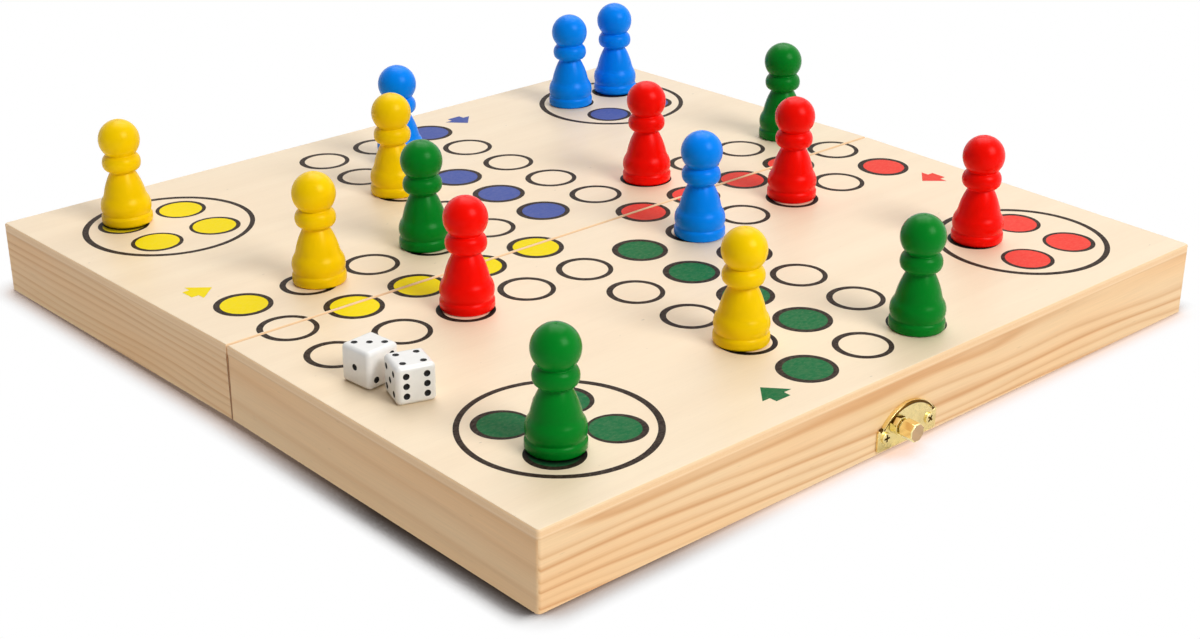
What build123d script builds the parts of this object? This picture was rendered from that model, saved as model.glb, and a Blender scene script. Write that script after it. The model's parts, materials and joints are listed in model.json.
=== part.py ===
from build123d import *
import os
from math import asin, cos, degrees, hypot, pi, sqrt

# Folding ludo board box, lying open with the printed side up.
# Frame: +X along the fold line, +Y towards the half with the hook, +Z up, z = 0 on the table.
# The origin is the middle of the fold line. "far" is the +Y half and "near" the -Y half.
# Every half is drawn flat, with its rim in the plane of the hinge axis, and then settled: the
# hinge knuckles stand proud of the rims, so the open board lies like a very low tent.
FAR = 1
NEAR = -1
SIDE_NAMES = {FAR: "far", NEAR: "near"}

# Box halves
board_length = 290.0
half_width = 145.0
half_depth = 25.0
panel_thickness = 3.0
wall_thickness = 8.5
corner_rounding = 1.2
edge_easing = 0.4

# Butt hinges
hinge_inset = 50.0
leaf_length = 24.0
leaf_reach = 7.4
leaf_thickness = 1.0
knuckle_radius = 2.1
knuckle_count = 5
knuckle_gap = 0.15
pin_radius = 1.0
pin_clearance = 0.05
barrel_clearance = 0.3
recess_clearance = 0.15
hinge_screw_spacing = 14.0
hinge_screw_head_radius = 1.6
hinge_screw_radius = 0.8
hinge_screw_length = 8.0
screw_clearance = 0.05

# Catch: a stud plate on the near wall, and a hook plate of the same pressing on the far wall
catch_offset = -1.0
plate_half_width = 13.3
plate_lift = 1.0
plate_ear_top = 8.0
plate_arch_top = 14.1
plate_arch_half_width = 11.8
plate_thickness = 0.8
plate_ear_rounding = 0.8
plate_notch_radius = 0.7
bead_width = 0.7
bead_height = 0.6
catch_screw_offset = 9.9
catch_screw_height = 5.1
catch_screw_head_radius = 1.8
catch_screw_head_rim = 0.4
catch_screw_crown_radius = 1.2
catch_screw_crown_height = 0.4
catch_screw_radius = 1.0
catch_screw_length = 7.5
stud_offset = -5.7
stud_height = 8.6
stud_width = 5.7
stud_boss_length = 2.8
stud_neck_length = 1.0
stud_neck_radius = 1.7
stud_head_length = 4.7
stud_head_chamfer = 0.2
stud_tenon_radius = 1.2
hook_thickness = 0.7
hook_eye_radius = 4.2
hook_waist_radius = 2.6
hook_end_radius = 4.4
hook_notch_clearance = 0.3
hook_horn_radius = 1.3
hook_horn_reach = 7.6
hook_horn_rise = 4.6
hook_horn_root = 2.6

# Pawns, turned in one piece: radii and heights of the turned outline
foot_radius = 8.8
foot_height = 3.2
groove_radius = 8.2
groove_height = 3.7
skirt_radius = 8.7
skirt_widest = 5.6
skirt_crease_radius = 7.45
skirt_crease_height = 9.9
shoulder_radius = 6.75
shoulder_height = 13.7
waist_radius = 4.7
waist_height = 17.9
collar_radius = 6.8
collar_widest = 21.3
collar_edge_radius = 6.3
collar_band = 5.2
neck_height = 24.9
head_radius = 7.2
head_centre = 30.0
dimple_radius = 0.6
dimple_depth = 0.4

# Dice
die_edge = 12.0
die_rounding = 1.5
pip_radius = 1.0
pip_depth = 0.5
pip_spacing = 3.1

# Print: eleven rows each way, kept clear of the board's edges
row_count = 11
print_margin = 8.6
print_shift = -1.7

row_along = (board_length - 2 * print_margin) / row_count
row_across = (2 * half_width - 2 * print_margin) / row_count
wall_height = half_depth - panel_thickness
tilt = degrees(asin(knuckle_radius / half_width))
barrel_room = knuckle_radius + barrel_clearance
knuckle_pitch = leaf_length / knuckle_count
leaf_middle = (barrel_room + leaf_reach) / 2
stud_plate_face = plate_thickness + stud_boss_length
stud_length = stud_plate_face + stud_neck_length + stud_head_length
hook_lift = stud_plate_face + (stud_neck_length - hook_thickness) / 2
hook_span = hypot(2 * stud_offset, 2 * stud_height)

# Where the pieces stand, in rows from the middle of the print: along and across the fold
PAWNS = {
    "yellow": [(-4.52, 4.76), (-3.82, 1.01), (-1.04, 3.12), (-1.03, -3.93)],
    "blue": [(-0.12, 4.22), (3.69, 4.64), (4.72, 4.68), (1.02, -1.11)],
    "green": [(-2.03, 1.09), (4.93, 1.01), (0.92, -5.07), (-4.53, -4.53)],
    "red": [(-2.92, -0.93), (2.0, 0.98), (3.06, -0.93), (3.78, -3.74)],
}
# Each die: place in rows, turn about +Z, and the pips on its -X, -Y and +Z faces
DICE = {
    "die_left": ((-5.07, -1.83), 6.0, ("one", "two", "three")),
    "die_right": ((-4.97, -2.47), -18.0, ("five", "six", "four")),
}
PIP_PLACES = {
    "one": [(0, 0)],
    "two": [(-1, -1), (1, 1)],
    "three": [(-1, 1), (0, 0), (1, -1)],
    "four": [(-1, -1), (-1, 1), (1, -1), (1, 1)],
    "five": [(-1, -1), (-1, 1), (0, 0), (1, -1), (1, 1)],
    "six": [(-1, -1), (-1, 0), (-1, 1), (1, -1), (1, 0), (1, 1)],
}
OPPOSITE = {
    "one": "six",
    "two": "five",
    "three": "four",
    "four": "three",
    "five": "two",
    "six": "one",
}


def settle(shape, side):
    """Tilt a half's piece down about the hinge axis, and lift the axis to its height over the table."""
    return Pos(0, 0, knuckle_radius) * Rot(-side * tilt, 0, 0) * shape


def turned_to(shape, side):
    """A shape drawn for the far half, turned about the middle of the fold line if it is for the near one."""
    return shape if side == FAR else Rot(0, 0, 180) * shape


def on_wall(shape, side):
    """A fitting drawn as seen from outside (X right, Y up from the rim, Z outwards), set on an outer wall."""
    facing = 180 if side == FAR else 0
    return Pos(catch_offset, side * half_width, 0) * Rot(0, 0, facing) * Rot(90, 0, 0) * shape


def half_outline(height):
    """The far half's outer shape, with its two outer corners rounded."""
    block = Pos(0, half_width / 2, 0) * Box(
        board_length, half_width, height, align=(Align.CENTER, Align.CENTER, Align.MIN)
    )
    corners = block.edges().filter_by(Axis.Z).filter_by_position(Axis.Y, half_width - 1, half_width + 1)
    return fillet(corners, corner_rounding)


def top_panel():
    """The printed plywood panel, as wide as the half, with its upper edges eased."""
    panel = Pos(0, 0, wall_height) * half_outline(panel_thickness)
    return chamfer(panel.faces().sort_by(Axis.Z)[-1].edges(), edge_easing)


def mitred_wall(corner_a, corner_b, inner_b, inner_a):
    """One wall of the far half, between the mitres through its corners, rounded where the half is."""
    section = make_face(Polyline(corner_a, corner_b, inner_b, inner_a, close=True))
    return extrude(section, wall_height) & half_outline(wall_height)


def half_walls(side):
    """The four walls of a half, by name, drawn for the far half."""
    end = board_length / 2
    inner_end = end - wall_thickness
    outer = half_width
    inner = half_width - wall_thickness
    walls = {
        "outer": mitred_wall((-end, outer), (end, outer), (inner_end, inner), (-inner_end, inner)),
        "hinge": mitred_wall(
            (-end, 0), (end, 0), (inner_end, wall_thickness), (-inner_end, wall_thickness)
        ),
        "minus": mitred_wall(
            (-end, 0), (-end, outer), (-inner_end, inner), (-inner_end, wall_thickness)
        ),
        "plus": mitred_wall((end, 0), (end, outer), (inner_end, inner), (inner_end, wall_thickness)),
    }
    for x in hinge_places():
        walls["hinge"] -= hinge_recess(x)
    for hole in catch_screw_holes():
        walls["outer"] -= turned_to(on_wall(hole, side), side)
    return walls


def hinge_places():
    """Where the two hinges' middles lie along the fold line."""
    reach = board_length / 2 - hinge_inset
    return (-reach, reach)


def hinge_screw_places(x):
    """Where one leaf's screws stand along the fold line."""
    return (x - hinge_screw_spacing / 2, x + hinge_screw_spacing / 2)


def hinge_recess(x):
    """What is cut from the far hinge wall for one leaf: its bed, the room for the barrel and the pilots."""
    length = leaf_length + 2 * recess_clearance
    reach = leaf_reach + recess_clearance
    bed = Pos(x, 0, 0) * Box(length, reach, leaf_thickness, align=(Align.CENTER, Align.MIN, Align.MIN))
    barrel = Pos(x, 0, 0) * Rot(0, 90, 0) * Cylinder(barrel_room, length)
    recess = bed + barrel
    for place in hinge_screw_places(x):
        recess += Pos(place, leaf_middle, 0) * Cylinder(
            hinge_screw_radius + screw_clearance,
            hinge_screw_length,
            align=(Align.CENTER, Align.CENTER, Align.MIN),
        )
    return recess


def countersink(radius, shank, clearance):
    """The cone of a countersunk head, flush with the leaf's face."""
    return Cone(
        radius + clearance,
        shank + clearance,
        leaf_thickness,
        align=(Align.CENTER, Align.CENTER, Align.MIN),
    )


def hinge_leaf(x, side):
    """One leaf with its share of the knuckles, for the far half: the far leaf has the outer ones."""
    leaf = Pos(x, barrel_room, 0) * Box(
        leaf_length,
        leaf_reach - barrel_room,
        leaf_thickness,
        align=(Align.CENTER, Align.MIN, Align.MIN),
    )
    first = 0 if side == FAR else 1
    for number in range(first, knuckle_count, 2):
        middle = x + side * ((number + 0.5) * knuckle_pitch - leaf_length / 2)
        length = knuckle_pitch - knuckle_gap
        leaf += Pos(middle, 0, 0) * Rot(0, 90, 0) * Cylinder(knuckle_radius, length)
        leaf += Pos(middle, 0, 0) * Box(
            length, barrel_room, leaf_thickness, align=(Align.CENTER, Align.MIN, Align.MIN)
        )
    leaf -= Pos(x, 0, 0) * Rot(0, 90, 0) * Cylinder(pin_radius + pin_clearance, leaf_length)
    for place in hinge_screw_places(x):
        leaf -= Pos(place, leaf_middle, 0) * countersink(
            hinge_screw_head_radius, hinge_screw_radius, screw_clearance
        )
    return leaf


def hinge_pin(x):
    """The pin through all the knuckles of one hinge."""
    return Pos(x, 0, 0) * Rot(0, 90, 0) * Cylinder(pin_radius, leaf_length - knuckle_gap)


def hinge_screws():
    """The countersunk screws of one half's leaves, as separate solids."""
    screws = []
    for x in hinge_places():
        for place in hinge_screw_places(x):
            shank = Cylinder(
                hinge_screw_radius,
                hinge_screw_length - screw_clearance,
                align=(Align.CENTER, Align.CENTER, Align.MIN),
            )
            head = countersink(hinge_screw_head_radius, hinge_screw_radius, 0)
            screws.append(Pos(place, leaf_middle, 0) * (shank + head))
    return screws


def catch_screw_places():
    """Where the two screws of a catch plate stand, as seen from outside."""
    return ((-catch_screw_offset, catch_screw_height), (catch_screw_offset, catch_screw_height))


def catch_screw_holes():
    """The pilot holes under a catch plate, drawn as seen from outside."""
    depth = catch_screw_length - plate_thickness
    return [
        Pos(u, v, 0)
        * Cylinder(
            catch_screw_radius + screw_clearance, depth, align=(Align.CENTER, Align.CENTER, Align.MAX)
        )
        for u, v in catch_screw_places()
    ]


def arch_face(inset):
    """The plate's arched field above its lower edge, drawn in by an inset from the arch."""
    rise = plate_arch_top - plate_ear_top
    radius = (plate_arch_half_width**2 + rise**2) / (2 * rise) - inset
    centre = plate_arch_top - inset - radius
    half = plate_arch_half_width - inset
    shoulder = centre + sqrt(radius**2 - half**2)
    lower = Polyline((-half, shoulder), (-half, plate_lift), (half, plate_lift), (half, shoulder))
    arch = ThreePointArc((half, shoulder), (0, plate_arch_top - inset), (-half, shoulder))
    return make_face(lower + arch)


def catch_plate():
    """The pressed plate: two ears with screws, an arch with a raised bead, and the stud's hole."""
    ears = Pos(0, (plate_lift + plate_ear_top) / 2) * RectangleRounded(
        2 * plate_half_width, plate_ear_top - plate_lift, plate_ear_rounding
    )
    outline = ears + arch_face(0)
    for u in (-plate_arch_half_width, plate_arch_half_width):
        outline -= Pos(u, plate_ear_top) * Circle(plate_notch_radius)
    plate = extrude(outline, plate_thickness)
    above_ears = Pos(0, plate_arch_top) * Rectangle(
        2 * plate_half_width, 2 * (plate_arch_top - plate_ear_top - plate_notch_radius)
    )
    bead = (arch_face(0) - arch_face(bead_width)) & above_ears
    plate += extrude(bead, plate_thickness + bead_height)
    for u, v in catch_screw_places():
        plate -= Pos(u, v, 0) * Cylinder(catch_screw_radius + screw_clearance, 4 * plate_thickness)
    plate -= Pos(stud_offset, stud_height, 0) * Cylinder(
        stud_tenon_radius + screw_clearance, 4 * plate_thickness
    )
    return plate


def catch_stud():
    """The eight-sided stud: a boss, a round neck where the hook lies, and a head, riveted to the plate."""
    radius = stud_width / 2 / cos(pi / 8)
    eight = RegularPolygon(radius, 8, rotation=22.5)
    base = (Align.CENTER, Align.CENTER, Align.MIN)
    tenon = Cylinder(stud_tenon_radius, plate_thickness, align=base)
    boss = Pos(0, 0, plate_thickness) * extrude(eight, stud_boss_length)
    neck = Pos(0, 0, stud_plate_face) * Cylinder(stud_neck_radius, stud_neck_length, align=base)
    head = extrude(eight, stud_head_length)
    head = chamfer(head.faces().sort_by(Axis.Z)[-1].edges(), stud_head_chamfer)
    head = Pos(0, 0, stud_plate_face + stud_neck_length) * head
    return Pos(stud_offset, stud_height, 0) * (tenon + boss + neck + head)


def catch_screws():
    """The two pan-headed screws of a catch plate, as separate solids."""
    base = (Align.CENTER, Align.CENTER, Align.MIN)
    screw = Pos(0, 0, -catch_screw_length) * Cylinder(
        catch_screw_radius, catch_screw_length, align=base
    )
    screw += Cylinder(catch_screw_head_radius, catch_screw_head_rim, align=base)
    screw += Pos(0, 0, catch_screw_head_rim) * Cone(
        catch_screw_head_radius, catch_screw_crown_radius, catch_screw_crown_height, align=base
    )
    return [Pos(u, v, plate_thickness) * screw for u, v in catch_screw_places()]


def hull_of(*discs):
    """The plate outline drawn tightly around some discs, each given as (u, v, radius)."""
    return make_hull([(Pos(u, v) * Circle(radius)).edges()[0] for u, v, radius in discs])


def swing_hook():
    """The flat hook on its pivot stud, lying level: an eye, an arm, a notch for the stud and a horn."""
    eye = (0, 0, hook_eye_radius)
    waist = (hook_span / 2, 0, hook_waist_radius)
    end = (hook_span, 0, hook_end_radius)
    root = (hook_span, hook_end_radius - hook_horn_root, hook_horn_root)
    horn = (hook_span + hook_horn_reach, hook_horn_rise, hook_horn_radius)
    outline = hull_of(eye, waist) + hull_of(waist, end) + hull_of(root, horn)
    notch = stud_neck_radius + hook_notch_clearance
    outline -= Pos(hook_span, 0) * Circle(notch)
    outline -= Pos(hook_span, -hook_end_radius) * Rectangle(2 * notch, 2 * hook_end_radius)
    outline -= Circle(stud_neck_radius + pin_clearance)
    return Pos(stud_offset, stud_height, hook_lift) * extrude(outline, hook_thickness)


def pawn():
    """One turned pawn, standing on the origin."""
    groove = (groove_radius, groove_height)
    crease = (skirt_crease_radius, skirt_crease_height)
    waist = (waist_radius, waist_height)
    collar_foot = (collar_edge_radius, collar_widest - collar_band / 2)
    collar_top = (collar_edge_radius, collar_widest + collar_band / 2)
    neck = (sqrt(head_radius**2 - (head_centre - neck_height) ** 2), neck_height)
    crown = (dimple_radius, head_centre + sqrt(head_radius**2 - dimple_radius**2))
    dimple = (0, crown[1] - dimple_depth)
    outline = Polyline((0, 0), (foot_radius, 0), (foot_radius, foot_height), groove)
    outline += ThreePointArc(groove, (skirt_radius, skirt_widest), crease)
    outline += ThreePointArc(crease, (shoulder_radius, shoulder_height), waist)
    outline += Polyline(waist, collar_foot)
    outline += ThreePointArc(collar_foot, (collar_radius, collar_widest), collar_top)
    outline += Polyline(collar_top, neck)
    outline += ThreePointArc(neck, (head_radius, head_centre), crown)
    outline += Polyline(crown, dimple, (0, 0))
    return revolve(make_face(Plane.XZ * outline), Axis.Z)


def pip_cutter():
    """What a drill point takes from a face at z = 0 for one pip."""
    return Cone(0, 2 * pip_radius, 2 * pip_depth)


def die(left, front, top):
    """One die standing on the origin, with the pips given on its -X, -Y and +Z faces."""
    cube = fillet(Box(die_edge, die_edge, die_edge).edges(), die_rounding)
    faces = [
        (Rot(0, 0, 0), top),
        (Rot(180, 0, 0), OPPOSITE[top]),
        (Rot(90, 0, 0), front),
        (Rot(-90, 0, 0), OPPOSITE[front]),
        (Rot(0, -90, 0), left),
        (Rot(0, 90, 0), OPPOSITE[left]),
    ]
    for turn, layout in faces:
        for u, v in PIP_PLACES[layout]:
            cube -= turn * Pos(u * pip_spacing, v * pip_spacing, die_edge / 2) * pip_cutter()
    return Pos(0, 0, die_edge / 2) * cube


def stand(shape, place, turn=0):
    """A playing piece set on the printed face, and settled with the half that it stands on."""
    x = place[0] * row_along
    y = place[1] * row_across + print_shift
    side = FAR if y > 0 else NEAR
    return settle(Pos(x, y, half_depth) * Rot(0, 0, turn) * shape, side)


def write(name, shapes):
    """Write one node: a single solid, or a group of separate ones."""
    solids = [solid for shape in shapes for solid in shape.solids()]
    node = solids[0] if len(solids) == 1 else Compound(children=solids)
    export_step(node, f"parts/{name}.step")


def write_half(side):
    """Write the panel, the walls and the hinge screws of one half."""
    name = SIDE_NAMES[side]
    write(f"{name}_top_panel", [settle(turned_to(top_panel(), side), side)])
    left, right = ("minus", "plus") if side == FAR else ("plus", "minus")
    walls = half_walls(side)
    for wall, label in (("outer", "outer"), ("hinge", "hinge"), (left, "left"), (right, "right")):
        write(f"{name}_{label}_wall", [settle(turned_to(walls[wall], side), side)])
    write(f"{name}_hinge_screws", [settle(turned_to(s, side), side) for s in hinge_screws()])


def write_hinges():
    """Write the leaves and the pin of each hinge."""
    for x, label in zip(hinge_places(), ("left", "right")):
        write(f"{label}_hinge_far_leaf", [settle(hinge_leaf(x, FAR), FAR)])
        write(f"{label}_hinge_near_leaf", [settle(turned_to(hinge_leaf(-x, NEAR), NEAR), NEAR)])
        write(f"{label}_hinge_pin", [settle(hinge_pin(x), FAR)])


def write_catch():
    """Write the stud plate on the near wall, and the hook plate with its hook on the far wall."""
    for side, label in ((NEAR, "stud"), (FAR, "hook")):
        write(f"{label}_plate", [settle(on_wall(catch_plate(), side), side)])
        write(f"{label}_plate_screws", [settle(on_wall(s, side), side) for s in catch_screws()])
    write("catch_stud", [settle(on_wall(catch_stud(), NEAR), NEAR)])
    write("hook_pivot_stud", [settle(on_wall(catch_stud(), FAR), FAR)])
    write("swing_hook", [settle(on_wall(swing_hook(), FAR), FAR)])


def write_pieces():
    """Write the sixteen pawns and the two dice."""
    turned = pawn()
    for colour, places in PAWNS.items():
        for number, place in enumerate(places, 1):
            write(f"{colour}_pawn_{number}", [stand(turned, place)])
    for name, (place, turn, pips) in DICE.items():
        write(name, [stand(die(*pips), place, turn)])


os.makedirs("parts", exist_ok=True)
for half in (FAR, NEAR):
    write_half(half)
write_hinges()
write_catch()
write_pieces()
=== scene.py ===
"""Looks of the folding ludo board box, dressed around its solids.

Everything is in metres in the object's own frame: +X along the fold line, +Y towards the half with
the swing hook, +Z up, and z = 0 on the table. Sizes named in millimetres end in _mm.
"""

import json
import math

import bmesh
import bpy
from bpy.props import FloatProperty, FloatVectorProperty, IntProperty, PointerProperty
from mathutils import Matrix, Vector

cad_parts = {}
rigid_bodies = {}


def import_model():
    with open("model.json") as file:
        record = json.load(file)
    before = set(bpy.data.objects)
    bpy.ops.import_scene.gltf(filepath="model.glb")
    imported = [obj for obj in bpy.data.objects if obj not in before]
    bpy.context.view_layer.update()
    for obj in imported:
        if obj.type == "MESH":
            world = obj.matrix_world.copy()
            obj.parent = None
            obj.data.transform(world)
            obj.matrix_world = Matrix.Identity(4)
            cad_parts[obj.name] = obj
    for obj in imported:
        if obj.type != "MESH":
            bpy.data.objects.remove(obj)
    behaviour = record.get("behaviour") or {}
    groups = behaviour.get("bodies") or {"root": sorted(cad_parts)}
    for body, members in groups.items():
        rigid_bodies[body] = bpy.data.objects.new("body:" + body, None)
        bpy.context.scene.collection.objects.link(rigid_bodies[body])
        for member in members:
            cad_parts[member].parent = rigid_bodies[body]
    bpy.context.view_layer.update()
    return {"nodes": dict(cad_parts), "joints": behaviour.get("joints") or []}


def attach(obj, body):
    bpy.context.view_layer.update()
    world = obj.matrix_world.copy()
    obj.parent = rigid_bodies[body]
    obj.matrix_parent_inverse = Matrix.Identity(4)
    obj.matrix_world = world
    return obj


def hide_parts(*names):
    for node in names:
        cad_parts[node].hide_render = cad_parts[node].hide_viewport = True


bl_info = {
    "name": "Folding ludo board box",
    "version": (1, 0, 0),
    "blender": (4, 5, 0),
    "location": "3D View > Sidebar > Ludo box",
    "description": "Wood, print, lacquer and brass for a folding ludo board box and its pieces",
    "category": "Object",
}

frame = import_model()

MM = 0.001
FAR = 1
NEAR = -1
SIDE_NAMES = {FAR: "far", NEAR: "near"}

# Box halves, hinges and catch, as in the solids
board_length_mm = 290.0
half_width_mm = 145.0
half_depth_mm = 25.0
panel_thickness_mm = 3.0
knuckle_radius_mm = 2.1
edge_easing_mm = 0.4
hinge_inset_mm = 50.0
leaf_middle_mm = 4.9
hinge_screw_spacing_mm = 14.0
hinge_screw_head_radius_mm = 1.6
hinge_screw_radius_mm = 0.8
hinge_screw_head_height_mm = 1.0
hinge_screw_length_mm = 7.95
hinge_screw_point_mm = 1.6
hinge_screw_rim_mm = 0.08
hinge_screw_rim_break_mm = 0.06
hinge_cross_radius_mm = 0.95
hinge_cross_depth_mm = 0.6
leaf_edge_mm = 0.1
catch_offset_mm = -1.0
plate_ear_top_mm = 8.0
plate_arch_top_mm = 14.1
plate_arch_half_width_mm = 11.8
plate_thickness_mm = 0.8
bead_width_mm = 0.7
bead_height_mm = 0.6
# Painted shade: a brown line inside each bead, thin at its ends and thick at its top, and dark discs
# in the notches at the arch's ends
bead_shade_line_thin_mm = 0.16
bead_shade_line_thick_mm = 0.55
bead_shade_line_share = 0.75
notch_shade_radius_mm = 0.665
notch_shade_depth_mm = 0.3
sawn_depth_mm = 0.02
catch_screw_offset_mm = 9.9
catch_screw_height_mm = 5.1
catch_screw_head_radius_mm = 1.8
catch_screw_head_height_mm = 0.8
catch_screw_radius_mm = 1.0
catch_screw_length_mm = 7.5
catch_screw_point_mm = 2.0
catch_cross_radius_mm = 1.45
catch_cross_depth_mm = 0.5
screw_tip_share = 0.3
tilt = math.asin(knuckle_radius_mm / half_width_mm)

# Printed game: a cross whose arms reach five rows from the print's middle
arm_rows = 5
row_pitch_mm = 24.8
print_shift_mm = -1.7
register_angle = -0.73
spot_shift_mm = 0.2
green_spot_shift_mm = 0.5
line_setback_mm = 0.15
# Depth of the discs of ink, in ink thicknesses: they lie with half of it sunk in the wood
line_disc_depth = 2.0
colour_disc_depth = 1.5

# Pawn: radii and heights of the turned outline
foot_radius_mm = 8.8
foot_height_mm = 3.2
foot_rounding_mm = 0.95
foot_rounding_middle_mm = 0.28
foot_shoulder_mm = 0.9
groove_radius_mm = 8.2
groove_height_mm = 3.7
skirt_radius_mm = 8.7
skirt_widest_mm = 5.6
crease_radius_mm = 7.35
crease_height_mm = 9.9
shoulder_radius_mm = 6.4
shoulder_height_mm = 13.7
waist_radius_mm = 4.15
waist_height_mm = 18.7
collar_radius_mm = 6.65
collar_widest_mm = 21.3
collar_edge_radius_mm = 6.1
collar_band_mm = 5.2
collar_foot_lift_mm = 1.1
collar_bulge_mm = 0.55
neck_height_mm = 24.9
head_radius_mm = 7.1
head_centre_mm = 30.0
dimple_radius_mm = 0.6
dimple_depth_mm = 0.4

# Dice
die_edge_mm = 12.0
pip_radius_mm = 1.0
pip_spacing_mm = 3.1
pip_margin_mm = 0.1
face_margin_mm = 0.05

# Angles past which an edge stays sharp, and the distance within which points are merged
metal_crease_degrees = 40
line_crease_degrees = 50
die_crease_degrees = 22
weld_distance = 1e-6
on_axis_distance = 1e-9

# Studio, in metres: the softboxes' places and widths, the floor, and the shade beside the board
front_softbox_place = (0.35, -2.2, 1.87)
front_softbox_width = 1.3
overhead_softbox_place = (1.8, 1.5, 4.9)
overhead_softbox_width = 4.5
floor_reach = 4.0
shade_reach = 0.01
shade_blend = 0.002
corner_shade_core = 0.07
corner_shade_reach = 0.15
corner_shade_stretch = 1.6

PAWN_COLOURS = ("yellow", "blue", "green", "red")


def hex_colour(text):
    """An sRGB hex colour as linear RGBA."""
    channels = [int(text[i : i + 2], 16) / 255 for i in (1, 3, 5)]
    linear = [c / 12.92 if c <= 0.04045 else ((c + 0.055) / 1.055) ** 2.4 for c in channels]
    return (*linear, 1.0)


def colour_property(name, description, text):
    """A colour that the user can change, with its default given as sRGB hex."""
    return FloatVectorProperty(
        name=name, description=description, subtype="COLOR", size=4, min=0, max=1,
        default=hex_colour(text),
    )


def length_property(name, description, millimetres):
    """A length that the user can change, kept in metres."""
    return FloatProperty(
        name=name, description=description, subtype="DISTANCE", unit="LENGTH",
        default=millimetres * MM, min=0, precision=5,
    )


# Places ------------------------------------------------------------------------------------------


def settle(side):
    """From a half drawn flat, rim down on z = 0, to where it lies in the open board."""
    return Matrix.Translation((0, 0, knuckle_radius_mm * MM)) @ Matrix.Rotation(
        -side * tilt, 4, "X"
    )


def on_wall(side):
    """From a fitting drawn as seen from outside to its place on a half's outer wall."""
    facing = math.pi if side == FAR else 0
    place = Matrix.Translation((catch_offset_mm * MM, side * half_width_mm * MM, 0))
    turn = Matrix.Rotation(facing, 4, "Z") @ Matrix.Rotation(math.pi / 2, 4, "X")
    return settle(side) @ place @ turn


def side_of(node):
    """The half that a loose piece stands on, from the joint that lifts it."""
    for joint in frame["joints"]:
        if joint["child"] == node:
            return FAR if joint["parent"] == "far_half" else NEAR
    raise ValueError(f"no joint carries {node}")


def standing_place(node):
    """Where a loose piece stands on the printed face: its middle, in the flat half's frame."""
    side = side_of(node)
    level = settle(side).inverted()
    points = [level @ v.co for v in frame["nodes"][node].data.vertices]
    x = (min(p.x for p in points) + max(p.x for p in points)) / 2
    y = (min(p.y for p in points) + max(p.y for p in points)) / 2
    return settle(side) @ Matrix.Translation((x, y, half_depth_mm * MM))


# Meshes ------------------------------------------------------------------------------------------


def flat_faced(mesh, crease_degrees):
    """The mesh shaded smooth up to its creases, with flat faces kept flat beside rounded edges."""
    mesh.shade_smooth()
    mesh.set_sharp_from_angle(angle=math.radians(crease_degrees))
    beside = {}
    for polygon in mesh.polygons:
        for key in polygon.edge_keys:
            beside.setdefault(key, set()).add(polygon.material_index)
    for edge in mesh.edges:
        if len(beside.get(edge.key, ())) > 1:
            edge.use_edge_sharp = True

    def weigh(holder):
        weighing = holder.modifiers.new("flat faces", "WEIGHTED_NORMAL")
        weighing.keep_sharp = True
        weighing.weight = 100

    return baked(mesh, weigh)


def piece_from_mesh(name, mesh, material, body, place=None):
    """A finished piece at the origin, with its place in its mesh, riding on its body."""
    if place is not None:
        mesh.transform(place)
    mesh.name = name
    piece = bpy.data.objects.new(name, mesh)
    bpy.context.scene.collection.objects.link(piece)
    if material is not None:
        mesh.materials.clear()
        mesh.materials.append(material)
    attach(piece, body)
    return piece


def mesh_from(bm, name):
    """The bmesh as a mesh, with its normals outwards."""
    bmesh.ops.recalc_face_normals(bm, faces=bm.faces)
    mesh = bpy.data.meshes.new(name)
    bm.to_mesh(mesh)
    bm.free()
    return mesh


def baked(mesh, build):
    """The mesh after the modifiers that build adds to a passing object have been applied."""
    holder = bpy.data.objects.new("holder", mesh)
    bpy.context.scene.collection.objects.link(holder)
    build(holder)
    depsgraph = bpy.context.evaluated_depsgraph_get()
    result = bpy.data.meshes.new_from_object(
        holder.evaluated_get(depsgraph), preserve_all_data_layers=True, depsgraph=depsgraph
    )
    bpy.data.objects.remove(holder)
    return result


def turned(profile, segments, name):
    """A closed form turned about Z from a (radius, height) profile with both ends on the axis."""
    bm = bmesh.new()
    rings = []
    for radius, height in profile:
        if radius < on_axis_distance:
            rings.append([bm.verts.new((0, 0, height))])
            continue
        angles = [2 * math.pi * i / segments for i in range(segments)]
        rings.append(
            [bm.verts.new((radius * math.cos(a), radius * math.sin(a), height)) for a in angles]
        )
    for lower, upper in zip(rings, rings[1:]):
        for i in range(segments):
            j = (i + 1) % segments
            if len(lower) == 1:
                bm.faces.new((lower[0], upper[j], upper[i]))
            elif len(upper) == 1:
                bm.faces.new((lower[i], lower[j], upper[0]))
            else:
                bm.faces.new((lower[i], lower[j], upper[j], upper[i]))
    return mesh_from(bm, name)


def arc_points(start, middle, end, count):
    """Points along the arc through three (radius, height) points, without its start."""
    (ax, ay), (bx, by), (cx, cy) = start, middle, end
    a, b, c = (x**2 + y**2 for x, y in (start, middle, end))
    d = 2 * (ax * (by - cy) + bx * (cy - ay) + cx * (ay - by))
    ux = (a * (by - cy) + b * (cy - ay) + c * (ay - by)) / d
    uy = (a * (cx - bx) + b * (ax - cx) + c * (bx - ax)) / d
    radius = math.hypot(ax - ux, ay - uy)
    first = math.atan2(ay - uy, ax - ux)
    through = (math.atan2(by - uy, bx - ux) - first) % (2 * math.pi)
    last = (math.atan2(cy - uy, cx - ux) - first) % (2 * math.pi)
    if through > last:
        last -= 2 * math.pi
    angles = [first + last * i / count for i in range(1, count + 1)]
    return [(ux + radius * math.cos(angle), uy + radius * math.sin(angle)) for angle in angles]


def welded(node):
    """A bmesh copy of a CAD node with its loose triangles joined."""
    bm = bmesh.new()
    bm.from_mesh(frame["nodes"][node].data)
    bmesh.ops.remove_doubles(bm, verts=bm.verts, dist=weld_distance)
    return bm


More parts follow.
